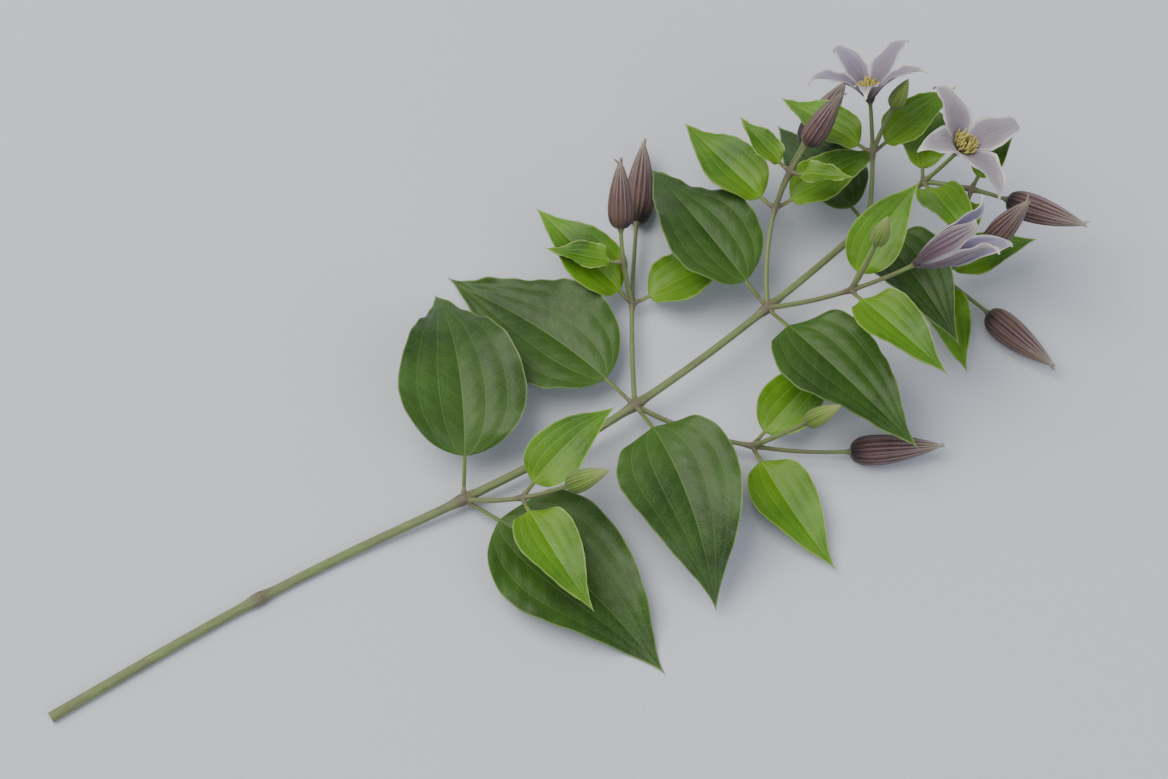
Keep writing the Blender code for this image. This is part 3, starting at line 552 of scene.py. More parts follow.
def leaf_skin(name, dark, light, vein, margin, underside, base_tint, roughness):
    """A living blade: mottled green with a satin gleam, lighter at its veins and thin edge, paler beneath."""
    made, tree, shader = new_material(name, Roughness=roughness, Specular_IOR_Level=0.36)
    blade = add(tree, "Attribute", out="Vector", attribute_name="blade")
    blade = add(tree, "SeparateXYZ", {0: blade}, out=None)
    real = add(tree, "Attribute", out="Vector", attribute_name="real")
    real = add(tree, "SeparateXYZ", {0: real}, out=None)
    place = add(tree, "TexCoord", out="Object")
    out = add(tree, "Math", {0: blade["X"]}, operation="ABSOLUTE")
    spread = add(tree, "Math", {0: real["X"]}, operation="ABSOLUTE")
    # The arching veins: the millimetres to the nearest one, and a soft line there that narrows to the tip.
    near = None
    for vein_place, narrower in zip(VEINS, VEIN_NARROWING):
        away = add(tree, "Math", {0: out, 1: vein_place}, operation="SUBTRACT")
        away = add(tree, "Math", {0: away}, operation="ABSOLUTE")
        away = add(tree, "Math", {0: away, 1: real["Z"]}, operation="MULTIPLY")
        away = add(tree, "Math", {0: away, 1: narrower}, operation="MULTIPLY")
        near = away if near is None else add(tree, "Math", {0: near, 1: away}, operation="MINIMUM")
    wide = add(tree, "MapRange", {"Value": blade["Y"], "To Min": 0.55, "To Max": 0.16})
    soft_line = {"Value": near, "From Min": wide, "From Max": 0.0}
    arching = add(tree, "MapRange", soft_line, interpolation_type="SMOOTHSTEP")
    # Cross veins leave the midrib at about half a right angle every eight millimetres, and wander a little.
    wander = add(tree, "TexNoise", {"Vector": place, "Scale": 140.0, "Detail": 1.0})
    slant = add(tree, "Math", {0: spread, 1: -CROSS_VEIN_SLANT, 2: real["Y"]}, operation="MULTIPLY_ADD")
    slant = add(tree, "Math", {0: wander, 1: 3.2, 2: slant}, operation="MULTIPLY_ADD")
    slant = add(tree, "Math", {0: slant, 1: CROSS_VEIN_GAP / FINE / 2}, operation="PINGPONG")
    crossing = add(tree, "MapRange", {"Value": slant, "From Min": 0.30, "From Max": 0.0})
    crossing = add(tree, "Math", {0: crossing, 1: 0.38}, operation="MULTIPLY")
    # The finest net has meshes of about a millimetre and a half, and hardly shows.
    net = add(tree, "TexVoronoi", {"Vector": place, "Scale": 640.0}, feature="DISTANCE_TO_EDGE")
    net = add(tree, "MapRange", {"Value": net, "From Min": 0.12, "From Max": 0.0, "To Max": 0.28})
    lines = add(tree, "Math", {0: arching, 1: crossing}, operation="MAXIMUM")
    lines = add(tree, "Math", {0: lines, 1: net}, operation="MAXIMUM", use_clamp=True)
    mottle = add(tree, "TexNoise", {"Vector": place, "Scale": 38.0, "Detail": 5.0, "Roughness": 0.6})
    green = add(tree, "ValToRGB", {"Fac": mottle}, [(0.34, dark), (0.66, light)])
    towards_base = {"Value": blade["Y"], "From Min": 0.45, "From Max": 0.0, "To Max": 0.75}
    near_base = add(tree, "MapRange", towards_base)
    green = add(tree, "Mix", {0: near_base, 6: green, 7: base_tint}, out=2, data_type="RGBA")
    veined = add(tree, "Math", {0: lines, 1: 0.62}, operation="MULTIPLY")
    green = add(tree, "Mix", {0: veined, 6: green, 7: vein}, out=2, data_type="RGBA")
    inside = add(tree, "Math", {0: 1.0, 1: out}, operation="SUBTRACT")
    inside = add(tree, "Math", {0: inside, 1: real["Z"]}, operation="MULTIPLY")
    rim = add(tree, "MapRange", {"Value": inside, "From Min": 0.75, "From Max": 0.15, "To Max": 0.75})
    green = add(tree, "Mix", {0: rim, 6: green, 7: margin}, out=2, data_type="RGBA")
    # The stalk is browner than the blade, most of all at its root.
    stalk = add(tree, "MapRange", {"Value": blade["Y"], "From Min": 0.012, "From Max": 0.0})
    browning = {"Value": real["Y"], "From Min": 9.0, "From Max": 0.0, "To Min": 0.25, "To Max": 0.9}
    from_root = add(tree, "MapRange", browning)
    stalk = add(tree, "Math", {0: stalk, 1: from_root}, operation="MULTIPLY")
    beneath = add(tree, "Math", {0: blade["Z"], 1: 0.85}, operation="MULTIPLY")
    paler = add(tree, "Mix", {0: veined, 6: underside, 7: margin}, out=2, data_type="RGBA")
    green = add(tree, "Mix", {0: beneath, 6: green, 7: paler}, out=2, data_type="RGBA")
    green = add(tree, "Mix", {0: stalk, 6: green, 7: "#67663f"}, out=2, data_type="RGBA")
    pores = add(tree, "TexNoise", {"Vector": place, "Scale": 1400.0, "Detail": 2.0})
    relief = add(tree, "Math", {0: lines, 1: -0.8, 2: pores}, operation="MULTIPLY_ADD")
    bump = add(tree, "Bump", {"Height": relief, "Strength": 0.45, "Distance": 0.00025})
    coat(tree, shader, green, bump)
    return made


leaf_green = leaf_skin(
    "living_leaf_blade", dark="#1e3a0d", light="#375a18", vein="#64813c", margin="#7f9653",
    underside="#587440", base_tint="#3d6119", roughness=0.44,
)
for name, leaf in LARGE_LEAVES.items():
    bm = leaf_mesh(leaf, leaf_starts[name], LARGE_GRID, LARGE_QUILTING)
    finished(bm, "large_leaf_" + name, leaf_green, ["leaf_" + name])

# The young leaves: small narrow blades in pairs on the flowering shoots, folded along the midrib. They are
# soft and thin, a bright yellow green that pales towards their short stalks, with the same arching veins.
YOUNG_GRID = (30, 58, 6)
YOUNG_QUILTING = 0.35 * FINE
young_green = leaf_skin(
    "young_leaf_blade", dark="#355f0e", light="#578610", vein="#7da33a", margin="#9ab35c",
    underside="#648535", base_tint="#68940f", roughness=0.42,
)
for name, leaf in YOUNG_LEAVES.items():
    bm = leaf_mesh(leaf, leaf_starts[name], YOUNG_GRID, YOUNG_QUILTING)
    finished(bm, "young_leaf_" + name, young_green, ["leaf_" + name])

# The closed buds: four downy tepals that meet edge to edge in a torpedo, blunt and nearly black at its base.
# Each tepal has three lengthwise ribs, and its drawn-out pale tip stands a little apart from the others.
# The dusky purple comes from a dark skin under grey down, which is thickest along the ribs and seams.
BUD_SIDES, BUD_RINGS = 120, 44
BUD_FULLNESS, BUD_TAPER = 0.33, 0.90
BUD_SINK = 0.0004  # how far its base sits down in the cup
RING_CROWDING = 1.6
TEPALS_IN_BUD = 4
BUD_SIDE_RIB = 0.46  # how far out from a tepal's middle to its seam each side rib runs
BUD_RIB_WIDTH, BUD_RIB_HEIGHT = 0.15, 0.05
BUD_RIB_STRENGTHS = (0.55, 1.15)
BUD_SEAM_WIDTH, BUD_SEAM_DEPTH = 0.07, 0.06
BUD_TIP_LENGTH, BUD_TIP_LENGTHS = 0.13, (0.75, 1.2)  # a share of the bud's length, and its spread
BUD_TIP_START, BUD_TIP_GAP = 0.87, 0.0004
BUD_TIP_TURN = 0.3
LEAN_AT_TIPS, LEAN_ALONG_TIPS = 0.74, 0.3
BUD_TIP_HOOKS = (0.05, 0.12, 0.2, 0.75)
BUD_TIP_SPREAD, BUD_TIP_REACH = 0.0002, 0.0030
BUD_TIP_RADIUS, BUD_TIP_TAPER = 0.00085, 0.66
BUD_TIP_STEPS = BUD_TIP_SIDES = 8


class Bud(NamedTuple):
    """The closed flower at the tip of the shoot that it is listed under."""

    length: float
    width: float
    tint: float
    bend: float = 0.05


BUDS = {
    "right_3": Bud(0.042, 0.0135, 0.25),
    "left_3": Bud(0.044, 0.0140, 0.55),
    "left_4": Bud(0.041, 0.0135, 0.10),
    "right_5": Bud(0.040, 0.0132, 0.75),
    "side_left_3": Bud(0.032, 0.0115, 0.90),
    "side_left_4": Bud(0.030, 0.0110, 0.65),
    "side_tip": Bud(0.038, 0.0128, 0.35),
    "side_right_5": Bud(0.034, 0.0120, 0.60),
}
GREEN_BUDS = {
    "right_2": Bud(0.022, 0.0094, 0.2, bend=0.0),
    "side_right_3": Bud(0.019, 0.0086, 0.5, bend=0.0),
    "side_right_4": Bud(0.017, 0.0080, 0.4, bend=0.0),
    "side_left_5": Bud(0.016, 0.0078, 0.7, bend=0.0),
}


def facing(spine, gap):
    """A transform that stands a piece on the tip of a stalk, its own +Z along the stalk."""
    tip, right, up, ahead = spine.frame(1.0)
    turn = Matrix((up, right, ahead)).transposed().to_4x4()
    return Matrix.Translation(tip + ahead * gap) @ turn


def bud_mesh(name, bud, sides, rings, rib_height):
    """A sphere drawn out to a bud, slightly bent, with three ribs on each tepal and seams between tepals."""
    bm = sprout()
    across = bm.verts.layers.float.new("across")
    grain = bm.verts.layers.float_vector["grain"]
    tint = bm.verts.layers.float["flush"]
    bmesh.ops.create_uvsphere(bm, u_segments=sides, v_segments=rings, radius=1.0)
    widest = BUD_FULLNESS / (BUD_FULLNESS + BUD_TAPER)
    fullest = widest**BUD_FULLNESS * (1 - widest) ** BUD_TAPER
    rng = random.Random(name + " ribs")
    strengths = [[rng.uniform(*BUD_RIB_STRENGTHS) for _ in range(3)] for _ in range(TEPALS_IN_BUD)]
    for vertex in bm.verts:
        turn = math.atan2(vertex.co.y, vertex.co.x)
        share = (math.acos(max(-1.0, min(1.0, -vertex.co.z))) / math.pi) ** RING_CROWDING
        share = min(share, 1.0)
        index = round(turn / (math.pi / 2)) % TEPALS_IN_BUD
        out = math.remainder(turn, math.pi / 2) / (math.pi / 4)
        ribs = max(
            strength * math.exp(-(((out - place) / BUD_RIB_WIDTH) ** 2))
            for place, strength in zip((-BUD_SIDE_RIB, 0.0, BUD_SIDE_RIB), strengths[index])
        )
        seam = math.exp(-(((1 - abs(out)) / BUD_SEAM_WIDTH) ** 2))
        radius = bud.width / 2 * share**BUD_FULLNESS * (1 - share) ** BUD_TAPER / fullest
        radius *= 1 + (rib_height * (2 * ribs - 1) - BUD_SEAM_DEPTH * seam) * eased(share * 9)
        vertex.co = (
            radius * math.cos(turn) + bud.bend * bud.length * share * share,
            radius * math.sin(turn),
            bud.length * share,
        )
        vertex[grain] = (math.cos(turn), math.sin(turn), share)
        vertex[tint] = bud.tint
        vertex[across] = abs(out)
    return bm


def add_bud_tips(bm, name, bud):
    """The four free tips: short fine points that leave the top of the bud and curve outwards."""
    grain = bm.verts.layers.float_vector["grain"]
    across = bm.verts.layers.float["across"]
    rng = random.Random(name)
    for index in range(TEPALS_IN_BUD):
        body = set(bm.verts)
        turn = 2 * math.pi * index / TEPALS_IN_BUD + rng.uniform(-BUD_TIP_TURN, BUD_TIP_TURN)
        out = Vector((math.cos(turn), math.sin(turn), 0))
        length = rng.uniform(*BUD_TIP_LENGTHS) * BUD_TIP_LENGTH * bud.length
        hook = rng.choice(BUD_TIP_HOOKS)
        points, radii = [], []
        for step in range(BUD_TIP_STEPS):
            up = step / (BUD_TIP_STEPS - 1)
            bend = bud.bend * bud.length * (LEAN_AT_TIPS + LEAN_ALONG_TIPS * up)
            middle = out * (BUD_TIP_GAP + BUD_TIP_SPREAD * up + BUD_TIP_REACH * hook * up**2.5)
            points.append(middle + Vector((bend, 0, bud.length * BUD_TIP_START + length * up)))
            radii.append(BUD_TIP_RADIUS * (1 - BUD_TIP_TAPER * up))
        grow(bm, points, radii, BUD_TIP_SIDES, [bud.tint] * BUD_TIP_STEPS)
        # A tip takes the colours of the bud's last tenth, between a side rib and the edge.
        for vertex in bm.verts:
            if vertex not in body:
                up = vertex[grain].z * FINE / length
                vertex[grain] = (math.cos(turn), math.sin(turn), 0.90 + 0.10 * min(up, 1.0))
                vertex[across] = 0.75


def bud_skin_of(name, grooves, ribs, olive, roughness):
    """Bud skin: dark grooves, paler ribs and felted tepal edges, with fine down that softens every gleam."""
    made, tree, shader = new_material(
        name, Roughness=roughness, Sheen_Weight=0.22, Sheen_Roughness=0.5, Specular_IOR_Level=0.3
    )
    grain_vector = add(tree, "Attribute", out="Vector", attribute_name="grain")
    tint = add(tree, "Attribute", out="Fac", attribute_name="flush")
    across = add(tree, "Attribute", out="Fac", attribute_name="across")
    up = add(tree, "SeparateXYZ", {0: grain_vector}, out="Z")
    ridges = [(0.0, 1.0), (0.10, 0.45), (0.20, 0.0), (0.35, 0.15), (BUD_SIDE_RIB, 1.0), (0.57, 0.1)]
    ridges += [(0.70, 0.15), (0.86, 0.75), (0.94, 0.90), (0.985, 0.0)]
    profile = add(tree, "ValToRGB", {"Fac": across}, ridges)
    # Streaks of down run from base to tip: they are about a millimetre wide and a centimetre long.
    streak_way = add(tree, "VectorMath", {0: grain_vector, 1: (7.0, 7.0, 2.6)}, operation="MULTIPLY")
    streaks = add(tree, "TexNoise", {"Vector": streak_way, "Scale": 2.2, "Detail": 5.0, "Roughness": 0.65})
    uneven = {"Value": streaks, "From Min": 0.3, "From Max": 0.7, "To Min": -0.35, "To Max": 0.35}
    uneven = add(tree, "MapRange", uneven)
    ridge = add(tree, "Math", {0: profile, 1: uneven}, operation="ADD", use_clamp=True)
    groove_colour = add(tree, "ValToRGB", {"Fac": up}, grooves)
    rib_colour = add(tree, "ValToRGB", {"Fac": up}, ribs)
    colour = add(tree, "Mix", {0: ridge, 6: groove_colour, 7: rib_colour}, out=2, data_type="RGBA")
    broad = add(tree, "TexNoise", {"Vector": grain_vector, "Scale": 1.6, "Detail": 2.0})
    browned = add(tree, "MapRange", {"Value": broad, "From Min": 0.42, "From Max": 0.62, "To Max": 0.65})
    browned = add(tree, "Math", {0: browned, 1: tint}, operation="MULTIPLY")
    colour = add(tree, "Mix", {0: browned, 6: colour, 7: olive}, out=2, data_type="RGBA")
    place = add(tree, "TexCoord", out="Object")
    down = add(tree, "TexNoise", {"Vector": place, "Scale": 1500.0, "Detail": 2.0})
    hoary = add(tree, "MapRange", {"Value": down, "From Min": 0.5, "From Max": 0.75, "To Max": 0.35})
    colour = add(tree, "Mix", {0: hoary, 6: colour, 7: rib_colour}, out=2, data_type="RGBA")
    relief = add(tree, "Math", {0: streaks, 1: 1.5, 2: down}, operation="MULTIPLY_ADD")
    bump = add(tree, "Bump", {"Height": relief, "Strength": 0.5, "Distance": 0.0003})
    coat(tree, shader, colour, bump)
    return made


DARK_GROOVES = [(0.00, "#120b0d"), (0.07, "#1d1215"), (0.22, "#2f1b22")]
DARK_GROOVES += [(0.60, "#382227"), (0.86, "#544439"), (1.0, "#8d8574")]
DUSKY_RIBS = [(0.00, "#1d1315"), (0.07, "#3a272e"), (0.20, "#7a595e")]
DUSKY_RIBS += [(0.55, "#8f7373"), (0.84, "#a3978a"), (1.0, "#bdb7a6")]
bud_skin = bud_skin_of("downy_bud_skin", DARK_GROOVES, DUSKY_RIBS, "#5c4a30", 0.58)
for name, bud in BUDS.items():
    bm = bud_mesh(name, bud, BUD_SIDES, BUD_RINGS, BUD_RIB_HEIGHT)
    add_bud_tips(bm, name, bud)
    bmesh.ops.transform(bm, matrix=facing(spines[name], -BUD_SINK), verts=bm.verts)
    finished(bm, "closed_bud_" + name, bud_skin, ["bud_" + name])

# The unripe buds: small and hard, still green through and through, on the weakest shoots. They are built and
# ribbed like the others, but their tips are shut, and the thin down lets the lime green show.
GREEN_SIDES, GREEN_RINGS = 80, 30
GREEN_RIB_HEIGHT = 0.045
GREEN_GROOVES = [(0.0, "#34481a"), (0.5, "#4f6d24"), (1.0, "#7d8c44")]
LIME_RIBS = [(0.0, "#5c7a2c"), (0.5, "#86a042"), (1.0, "#a9b070")]
green_skin = bud_skin_of("unripe_bud_skin", GREEN_GROOVES, LIME_RIBS, "#7d8440", 0.52)
for name, bud in GREEN_BUDS.items():
    bm = bud_mesh(name, bud, GREEN_SIDES, GREEN_RINGS, GREEN_RIB_HEIGHT)
    bmesh.ops.transform(bm, matrix=facing(spines[name], -BUD_SINK), verts=bm.verts)
    finished(bm, "unripe_bud_" + name, green_skin, ["green_bud_" + name])

# The blossoms: four or five leathery tepals on a small receptacle, spread as stars or held in a bell.
# Their inner faces are pale lilac to greyish white, and their backs mauve with three purple ribs.
# The edges are downy, near white and gently waved, and each tip is drawn out thin and curls back.
RECEPTACLE_HEIGHT = 0.0024
RECEPTACLE_RADII = (0.0020, 0.0026)
RECEPTACLE_SIDES = 24
RECEPTACLE_SINK = 0.0002
TEPAL_GRID = (22, 46)
TEPAL_FOOT = 0.0012
TEPAL_THICKNESS = 0.00055
TEPAL_FULLNESS, TEPAL_TAPER = 0.60, 1.20
TEPAL_POINT, TEPAL_NARROWING = 0.2, 0.35
NARROWEST = 0.0006
CLEARANCE = 0.995  # the share of the room between its neighbours that a tepal fills
HOOK_START, HOOKS = 0.78, (30, 100)
EDGE_WAVE, EDGE_WAVE_RATE = 0.00085, 19
TEPAL_RIBS = (0.0, 0.40)
TEPAL_RIB_WIDTH = 0.10
RIB_ON_BACK, RIB_ON_FACE = 0.00035, 0.00030  # raised on the back and sunken on the face


class Bloom(NamedTuple):
    """The open flower at a shoot's tip. Lean is a tepal's angle from the axis at root, middle and tip."""

    count: int
    length: float
    width: float
    lean: tuple
    cup: float
    spin: float
    turns: tuple
    crown: float
    violet: float


BLOOMS = {
    "tip": Bloom(4, 0.036, 0.0150, (34, 64, 118), 28, 20, (0, 8, -6, 12), 0.0100, 0.15),
    "left_5": Bloom(5, 0.036, 0.0110, (28, 50, 100), 32, 50, (-8, 6, 14, 0, -12), 0.0095, 0.55),
    "right_4": Bloom(4, 0.045, 0.0130, (34, -16, 14), 50, 10, (0, -2, 50, 6), 0.0115, 0.90),
}


def add_tepal(bm, bloom, index, rng):
    """One tepal from a grid, closed by its back."""
    across, along = TEPAL_GRID
    blade = bm.verts.layers.float_vector["blade"]
    violet = bm.verts.layers.float["violet"]
    around = math.radians(bloom.spin) + 2 * math.pi * index / bloom.count
    outward = Vector((math.cos(around), math.sin(around), 0))
    side = outward.cross(Vector((0, 0, 1)))
    root, middle, tip = bloom.lean
    hook = rng.uniform(*HOOKS)
    rows = []
    place = Vector((TEPAL_FOOT, TEPAL_FOOT))
    for row in range(along + 1):
        share = row / along
        lean = root * (1 - share) ** 2 + 2 * middle * share * (1 - share) + tip * share**2
        curl = max(0.0, (share - HOOK_START) / (1 - HOOK_START)) ** 1.5
        lean = math.radians(lean + bloom.turns[index] * share + hook * curl)
        rows.append((place.copy(), lean))
        place += Vector((math.sin(lean), math.cos(lean))) * bloom.length / along
    new = bmesh.ops.create_grid(bm, x_segments=across, y_segments=along, size=1.0)["verts"]
    for vertex in new:
        vertex[blade] = (vertex.co.x, (vertex.co.y + 1) / 2, 0.0)
    faces = list({face for vertex in new for face in vertex.link_faces})
    back = bmesh.ops.extrude_face_region(bm, geom=faces, use_keep_orig=True)["geom"]
    back = {item for item in back if isinstance(item, bmesh.types.BMVert)}
    phase = rng.uniform(0, 6)
    for vertex in [*new, *back]:
        u, share, _ = vertex[blade]
        (reach, height), lean = rows[round(share * along)]
        widest = bloom.width / 2 * outline(share, TEPAL_FULLNESS, TEPAL_TAPER) + TEPAL_FOOT * (1 - share / 2)
        arc = math.radians(bloom.cup) * (1 - share / 2)
        wedge = math.sin(arc) / arc / math.tan(math.pi / bloom.count)
        wedge += (1 - math.cos(arc)) / arc * math.cos(lean)
        room = max(NARROWEST, CLEARANCE * reach / wedge)
        half = min(widest, room)
        half *= 1 - TEPAL_NARROWING * eased((share - (1 - TEPAL_POINT)) / TEPAL_POINT)
        inward = -outward * math.cos(lean) + Vector((0, 0, math.sin(lean)))
        curl = math.sin(arc * u) / arc * half, (1 - math.cos(arc * u)) / arc * half
        ruffle = EDGE_WAVE * math.sin(EDGE_WAVE_RATE * share + phase + 2 * (u > 0)) * abs(u) ** 3
        ruffle *= eased(2.5 * (room / widest - 1))
        ruffle *= eased((1 - share) * 5)
        ribs = max(math.exp(-(((abs(u) - rib) / TEPAL_RIB_WIDTH) ** 2)) for rib in TEPAL_RIBS)
        ribs *= eased(share * 8) * (1 - 0.6 * share)
        level = curl[1] + ruffle
        if vertex in back:
            level -= TEPAL_THICKNESS * (1 - 0.5 * abs(u) ** 6) + RIB_ON_BACK * ribs
        else:
            level -= RIB_ON_FACE * ribs
        vertex.co = outward * reach + Vector((0, 0, height)) + side * curl[0] + inward * level
        vertex[blade] = (u, share, float(vertex in back))
        vertex[violet] = bloom.violet


def add_receptacle(bm, bloom):
    """The knob that the tepals grow from, coloured like the roots of their backs."""
    blade = bm.verts.layers.float_vector["blade"]
    violet = bm.verts.layers.float["violet"]
    lower, upper = RECEPTACLE_RADII
    knob = bmesh.ops.create_cone(
        bm, cap_ends=True, segments=RECEPTACLE_SIDES, radius1=lower, radius2=upper, depth=RECEPTACLE_HEIGHT,
        matrix=Matrix.Translation((0, 0, RECEPTACLE_HEIGHT / 2)),
    )["verts"]
    for vertex in knob:
        vertex[blade] = (0.3, 0.0, 1.0)
        vertex[violet] = bloom.violet


# Short down over a thin tissue that lets a little light in: the surface looks soft and chalky, not shiny.
tepal_skin, tree, shader = new_material(
    "downy_tepal", Roughness=0.55, Sheen_Weight=0.25, Sheen_Roughness=0.5, Subsurface_Weight=0.12,
    Subsurface_Scale=0.001,
)
on_blade = add(tree, "Attribute", out="Vector", attribute_name="blade")
blade = add(tree, "SeparateXYZ", {0: on_blade}, out=None)
violet = add(tree, "Attribute", out="Fac", attribute_name="violet")
place = add(tree, "TexCoord", out="Object")
out = add(tree, "Math", {0: blade["X"]}, operation="ABSOLUTE")
# Fine veins fan along the tepal, about half a millimetre apart.
fan = add(tree, "VectorMath", {0: on_blade, 1: (9.0, 1.4, 3.0)}, operation="MULTIPLY")
veins = add(tree, "TexNoise", {"Vector": fan, "Scale": 2.6, "Detail": 4.0, "Roughness": 0.6})
PALE_GREYS = [(0.00, "#7a7a58"), (0.10, "#887f85"), (0.35, "#958c91"), (0.75, "#a6a0a0"), (1.0, "#c4c0b6")]
VIOLETS = [(0.00, "#6e6474"), (0.15, "#72648e"), (0.60, "#8479a0"), (0.88, "#9a92aa"), (1.0, "#b4afa8")]
inner_pale = add(tree, "ValToRGB", {"Fac": blade["Y"]}, PALE_GREYS)
inner_violet = add(tree, "ValToRGB", {"Fac": blade["Y"]}, VIOLETS)
inner = add(tree, "Mix", {0: violet, 6: inner_pale, 7: inner_violet}, out=2, data_type="RGBA")
# The veins show as mauve lines, and with broad ochre patches they fill the middle of the inner face.
middle_band = add(tree, "MapRange", {"Value": out, "From Min": 0.74, "From Max": 0.14})
fading = add(tree, "MapRange", {"Value": blade["Y"], "From Min": 0.95, "From Max": 0.35})
veined = add(tree, "MapRange", {"Value": veins, "From Min": 0.42, "From Max": 0.58, "To Min": 0.10})
veined = add(tree, "Math", {0: veined, 1: middle_band}, operation="MULTIPLY")
veined = add(tree, "Math", {0: veined, 1: fading}, operation="MULTIPLY")
inner = add(tree, "Mix", {0: veined, 6: inner, 7: "#635570"}, out=2, data_type="RGBA")
ochre = add(tree, "TexNoise", {"Vector": fan, "Scale": 1.3, "Detail": 2.0})
ochre = add(tree, "MapRange", {"Value": ochre, "From Min": 0.50, "From Max": 0.62, "To Max": 0.7})
ochre = add(tree, "Math", {0: ochre, 1: middle_band}, operation="MULTIPLY")
inner = add(tree, "Mix", {0: ochre, 6: inner, 7: "#847b58"}, out=2, data_type="RGBA")
from_rib = add(tree, "Math", {0: out, 1: TEPAL_RIBS[1]}, operation="SUBTRACT")
from_rib = add(tree, "Math", {0: from_rib}, operation="ABSOLUTE")
from_rib = add(tree, "Math", {0: from_rib, 1: out}, operation="MINIMUM")
ribbed = add(tree, "MapRange", {"Value": from_rib, "From Min": 0.16, "From Max": 0.03})
MAUVES = [(0.00, "#2c2026"), (0.08, "#432e3b"), (0.30, "#5c4452"), (0.55, "#766470"), (0.78, "#8f848a")]
MAUVES += [(0.90, "#b9b2a6"), (1.0, "#cfc9bb")]
outer = add(tree, "ValToRGB", {"Fac": blade["Y"]}, MAUVES)
below_tip = add(tree, "MapRange", {"Value": blade["Y"], "From Min": 0.95, "From Max": 0.70, "To Max": 0.8})
rib_mix = add(tree, "Math", {0: ribbed, 1: below_tip}, operation="MULTIPLY")
outer = add(tree, "Mix", {0: rib_mix, 6: outer, 7: "#402735"}, out=2, data_type="RGBA")
colour = add(tree, "Mix", {0: blade["Z"], 6: inner, 7: outer}, out=2, data_type="RGBA")
# The felt of the edge frays inwards over a tenth of the half width, and closes over the tip.
edge_noise = add(tree, "TexNoise", {"Vector": place, "Scale": 900.0, "Detail": 2.0})
edge = add(tree, "Math", {0: edge_noise, 1: 0.10, 2: out}, operation="MULTIPLY_ADD")
edge = add(tree, "Math", {0: blade["Z"], 1: -0.06, 2: edge}, operation="MULTIPLY_ADD")
edge = add(tree, "MapRange", {"Value": edge, "From Min": 0.80, "From Max": 0.96, "To Max": 0.95})
above_base = add(tree, "MapRange", {"Value": blade["Y"], "From Min": 0.06, "From Max": 0.42})
edge = add(tree, "Math", {0: edge, 1: above_base}, operation="MULTIPLY")
at_tip = add(tree, "MapRange", {"Value": blade["Y"], "From Min": 0.84, "From Max": 0.96, "To Max": 0.9})
edge = add(tree, "Math", {0: edge, 1: at_tip}, operation="MAXIMUM")
felt = add(tree, "Mix", {0: blade["Z"], 6: "#d4d0c8", 7: "#a9a2a4"}, out=2, data_type="RGBA")
felt = add(tree, "Mix", {0: at_tip, 6: felt, 7: "#e2ded2"}, out=2, data_type="RGBA")
colour = add(tree, "Mix", {0: edge, 6: colour, 7: felt}, out=2, data_type="RGBA")
down = add(tree, "TexNoise", {"Vector": place, "Scale": 1800.0, "Detail": 2.0})
relief = add(tree, "Math", {0: veins, 1: 2.0, 2: down}, operation="MULTIPLY_ADD")
bump = add(tree, "Bump", {"Height": relief, "Strength": 0.4, "Distance": 0.00025})
coat(tree, shader, colour, bump)

for name, bloom in BLOOMS.items():
    rng = random.Random(name)
    bm = bmesh.new()
    bm.verts.layers.float_vector.new("blade")
    bm.verts.layers.float.new("violet")
    add_receptacle(bm, bloom)
    for index in range(bloom.count):
        add_tepal(bm, bloom, index, rng)
    bmesh.ops.transform(bm, matrix=facing(spines[name], -RECEPTACLE_SINK), verts=bm.verts)
    finished(bm, "tepals_of_" + name, tepal_skin, ["tepals_" + name])

# The stamens: a crowded crown of fine cream filaments round a tuft of brown styles, all rooted over the
# receptacle. Each filament ends in a long powdery anther, golden yellow when ripe, and the outer ones lean
# out and bend back in.
GOLDEN_ANGLE = 2.39996
STAMENS, STYLES = 58, 18
INNERMOST = 0.22  # where the first stamen stands, as a share of the way out from the styles to the last
STAMEN_LENGTHS, STYLE_LENGTHS = (0.84, 1.08), (0.50, 0.66)
OUTER_SHORTENING = 0.10
STAMEN_LEAN, SPREADING, STYLE_LEAN = 6, 0.85, 12
ROOT_RING, ROOT_SPREAD, ROOT_DEPTH = 0.0003, 0.0012, 0.0004
STYLE_CROWDING, STYLE_BENDING = 0.4, 0.2  # styles root closer together and bend less than stamens
BENDS = (0.5, 1.5)
STAMEN_BEND = 0.0017
SWAY = 0.0007
ANTHER_START, ANTHER_END, ANTHER_SLOPES = 0.55, 0.93, (0.12, 0.14)
YELLOW_START = 0.5
FILAMENT_RADIUS, ANTHER_SWELLING, STYLE_RADIUS = 0.00018, 0.00019, 0.00016
THREAD_STEPS, THREAD_SIDES = 8, 6
ANTHER, STYLE = 0.5, 1.0  # the places of their colours on the ramp, where a filament's is zero

# Pollen lies on them like fine flour: it makes the yellow matt and grainy, and a little greener in patches.
stamen_skin, tree, shader = new_material("powdery_stamens", Roughness=0.70, Sheen_Weight=0.2)
kind = add(tree, "Attribute", out="Fac", attribute_name="flush")
place = add(tree, "TexCoord", out="Object")
powder = add(tree, "TexNoise", {"Vector": place, "Scale": 2600.0, "Detail": 2.0})
CREAM_TO_BROWN = [(0.0, "#bdb792"), (0.30, "#cfc984"), (0.5, "#d6c968"), (0.75, "#7d6a30"), (1.0, "#3d2f1c")]
colour = add(tree, "ValToRGB", {"Fac": kind}, CREAM_TO_BROWN)
shade = add(tree, "MapRange", {"Value": powder, "From Min": 0.3, "From Max": 0.7, "To Max": 0.35})
colour = add(tree, "Mix", {0: shade, 6: colour, 7: "#93873a"}, out=2, data_type="RGBA")
bump = add(tree, "Bump", {"Height": powder, "Strength": 0.6, "Distance": 0.0002})
coat(tree, shader, colour, bump)

